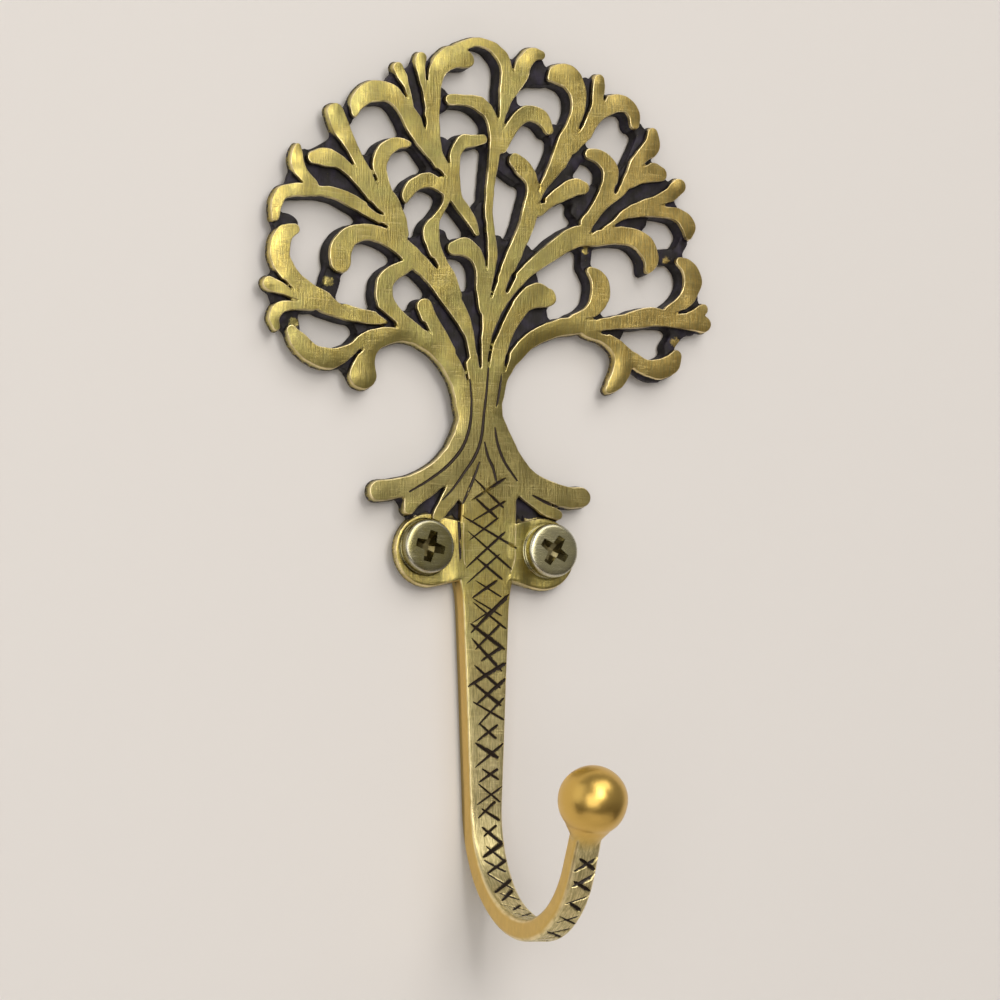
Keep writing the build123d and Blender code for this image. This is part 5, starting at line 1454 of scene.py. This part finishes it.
def plated_steel(scratches, patina, rubbed):
    """Yellowish plating on steel, darker and more olive on the left screw as painted shade and reflection,
    dull in the recess and bright round the head's edge with rubbing and a painted highlight.
    """
    material, add, shader = finish("plated_steel")
    link = material.node_tree.links.new
    _, ramp, mix = maths(add)
    place = in_mm(add)
    dark = add("ShaderNodeGroup", {
        "Recess": attribute(add, "recess"), "Specks": 0.15,
    }, node_tree=patina).outputs["Mask"]
    bright = add("ShaderNodeGroup", {"Edge": attribute(add, "edge")}, node_tree=rubbed).outputs["Mask"]
    filed = add("ShaderNodeGroup", {"Amount": 0.7}, node_tree=scratches).outputs
    # Painted shade and reflection: the left screw darker and more olive than the right
    right = ramp(add("ShaderNodeSeparateXYZ", {0: place}).outputs["X"], -1.0, 1.0)
    cloudy = ramp(noise(add, place, 0.8, 3.0), 0.35, 0.65)
    colour = layered(add, mix(right, SHADED_LEFT_PLATING, RIGHT_PLATING), [
        (cloudy, 0.35, CLOUDY_PLATING), (filed["Mask"], 0.3, SCRATCHED_PLATING),
        # Darker plating deep in the recess
        # Rim: rubbed plating and a painted highlight
        (bright, 0.6, RUBBED_AND_HIGHLIT_PLATING), (dark, 0.75, DEEP_RECESS_PLATING),
    ])
    link(colour, shader.inputs["Base Color"])
    shader.inputs["Metallic"].default_value = 1.0
    link(summed(add, 0.26, [(filed["Mask"], 0.1), (dark, 0.15)]), shader.inputs["Roughness"])
    bump = add("ShaderNodeBump", {"Height": filed["Height"], "Strength": 0.2, "Distance": 0.04 * MM})
    link(bump.outputs["Normal"], shader.inputs["Normal"])
    return material


def pale_paint(name, see_through_back):
    """Plain pale paint for the floor and the wall, which is open from behind and to what lies against it."""
    material, add, shader = finish(name)
    shader.inputs["Base Color"].default_value = PALE_PAINT
    shader.inputs["Roughness"].default_value = 0.9
    if see_through_back:
        work = maths(add)[0]
        behind = add("ShaderNodeNewGeometry").outputs["Backfacing"]
        touching = work("LESS_THAN", add("ShaderNodeLightPath").outputs["Ray Length"], TOUCHING)
        clear = add("ShaderNodeBsdfTransparent").outputs[0]
        both = add("ShaderNodeMixShader", {
            0: work("MAXIMUM", behind, touching), 1: shader.outputs[0], 2: clear,
        }).outputs[0]
        surface = material.node_tree.nodes["Material Output"].inputs["Surface"]
        material.node_tree.links.new(both, surface)
    return material


# Stage

def stage():
    """A plain floor well below, a plain wall, soft light and the camera."""
    floor = mesh_object("floor", [
        (-FLOOR_HALF, -FLOOR_HALF, FLOOR_Z), (FLOOR_HALF, -FLOOR_HALF, FLOOR_Z),
        (FLOOR_HALF, MM, FLOOR_Z), (-FLOOR_HALF, MM, FLOOR_Z),
    ], [(0, 1, 2, 3)])
    floor.data.materials.append(pale_paint("floor_paint", False))
    wall = mesh_object("wall", [
        (-WALL_HALF, WALL_Y, FLOOR_Z), (WALL_HALF, WALL_Y, FLOOR_Z),
        (WALL_HALF, WALL_Y, WALL_TOP), (-WALL_HALF, WALL_Y, WALL_TOP),
    ], [(0, 1, 2, 3)])
    wall.data.materials.append(pale_paint("wall_paint", True))
    lamp("window", azimuth=-1, elevation=18, distance=1.0, size=(0.34, 0.46), power=3.0, colour=LAMP_WHITE)
    lamp("fill", azimuth=12, elevation=44, distance=1.6, size=(1.5, 0.8), power=7.0, colour=LAMP_WHITE)
    lamp("front", azimuth=-26, elevation=-1, distance=1.3, size=(0.9, 0.8), power=3.8, colour=LAMP_WHITE)
    lamp("side", azimuth=-80, elevation=20, distance=1.2, size=(1.0, 1.2), power=2.5, colour=SIDE_WHITE)
    soft_room()
    camera()
    bpy.context.scene.view_settings.view_transform = "Standard"


def soft_room():
    """Even light from all round, dimmer towards the floor."""
    world = bpy.data.worlds.new("soft_room")
    world.use_nodes = True
    add = partial(add_node, world.node_tree)
    _, ramp, mix = maths(add)
    up = add("ShaderNodeSeparateXYZ", {0: add("ShaderNodeTexCoord").outputs["Generated"]}).outputs["Z"]
    colour = mix(ramp(up, -0.5, 0.15), ROOM_LOW, ROOM_HIGH)
    world.node_tree.links.new(colour, world.node_tree.nodes["Background"].inputs["Color"])
    bpy.context.scene.world = world


def towards(azimuth, elevation):
    """The direction from the object to a place round it, in degrees."""
    a, e = math.radians(azimuth), math.radians(elevation)
    return Vector((math.sin(a) * math.cos(e), -math.cos(a) * math.cos(e), math.sin(e)))


def lamp(name, azimuth, elevation, distance, size, power, colour):
    """A soft rectangular light that faces the hook."""
    light = bpy.data.lights.new(name, "AREA")
    light.shape = "RECTANGLE"
    light.size, light.size_y = size
    light.energy = power
    light.color = colour
    made = bpy.data.objects.new(name, light)
    back = towards(azimuth, elevation)
    made.location = back * distance
    made.rotation_euler = back.to_track_quat("Z", "Y").to_euler()
    bpy.context.scene.collection.objects.link(made)


def camera():
    """The photograph's view: from the left and a little below, through a long lens."""
    made = bpy.data.objects.new("camera", bpy.data.cameras.new("camera"))
    made.data.lens = LENS
    made.data.sensor_width = SENSOR_WIDTH
    back = towards(VIEW_AZIMUTH, VIEW_ELEVATION)
    made.location = VIEW_MIDDLE + back * VIEW_DISTANCE
    made.rotation_euler = back.to_track_quat("Z", "Y").to_euler()
    made.data.clip_start, made.data.clip_end = 0.05, 20
    bpy.context.scene.collection.objects.link(made)
    bpy.context.scene.camera = made


def polish_of(obj):
    """Stores how far the hook's lower end and ball are polished and golden rather than filed and olive, and
    how far a painted sheen pales the lower shaft.
    """
    place = np.array([v.co for v in obj.data.vertices]) / MM
    across = np.array([abs(v.normal.x) for v in obj.data.vertices])
    bar = carried(obj, "bar")
    side = np.clip((across - 0.6) / 0.25, 0, 1) * bar * SIDE_POLISH
    from_ball = np.linalg.norm(place - ball_middle()[0], axis=1)
    ball = np.clip((BALL_RADIUS + BALL_POLISH_REACH - from_ball) / BALL_POLISH_RUN, 0, 1)
    polish = np.maximum(side, ball)
    store(obj.data, "polish", polish)
    # Painted sheen: paler down the lower shaft towards the bend, less where the metal is polished
    store(obj.data, "rubbed", np.clip((SHEEN_FROM_Z - place[:, 2]) / SHEEN_RUN, 0, 1) * (1 - polish))


effects = [file_scratch_group(), patina_group(), worn_and_highlit_edge_group()]
brass = antique_brass(*effects)
cast_hook = hook_casting(brass)
polish_of(cast_hook)
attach(cast_hook, "root")
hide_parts("hook_casting")
screws = fixing_screws(plated_steel(*effects))
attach(screws, "root")
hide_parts("fixing_screws")
stage()
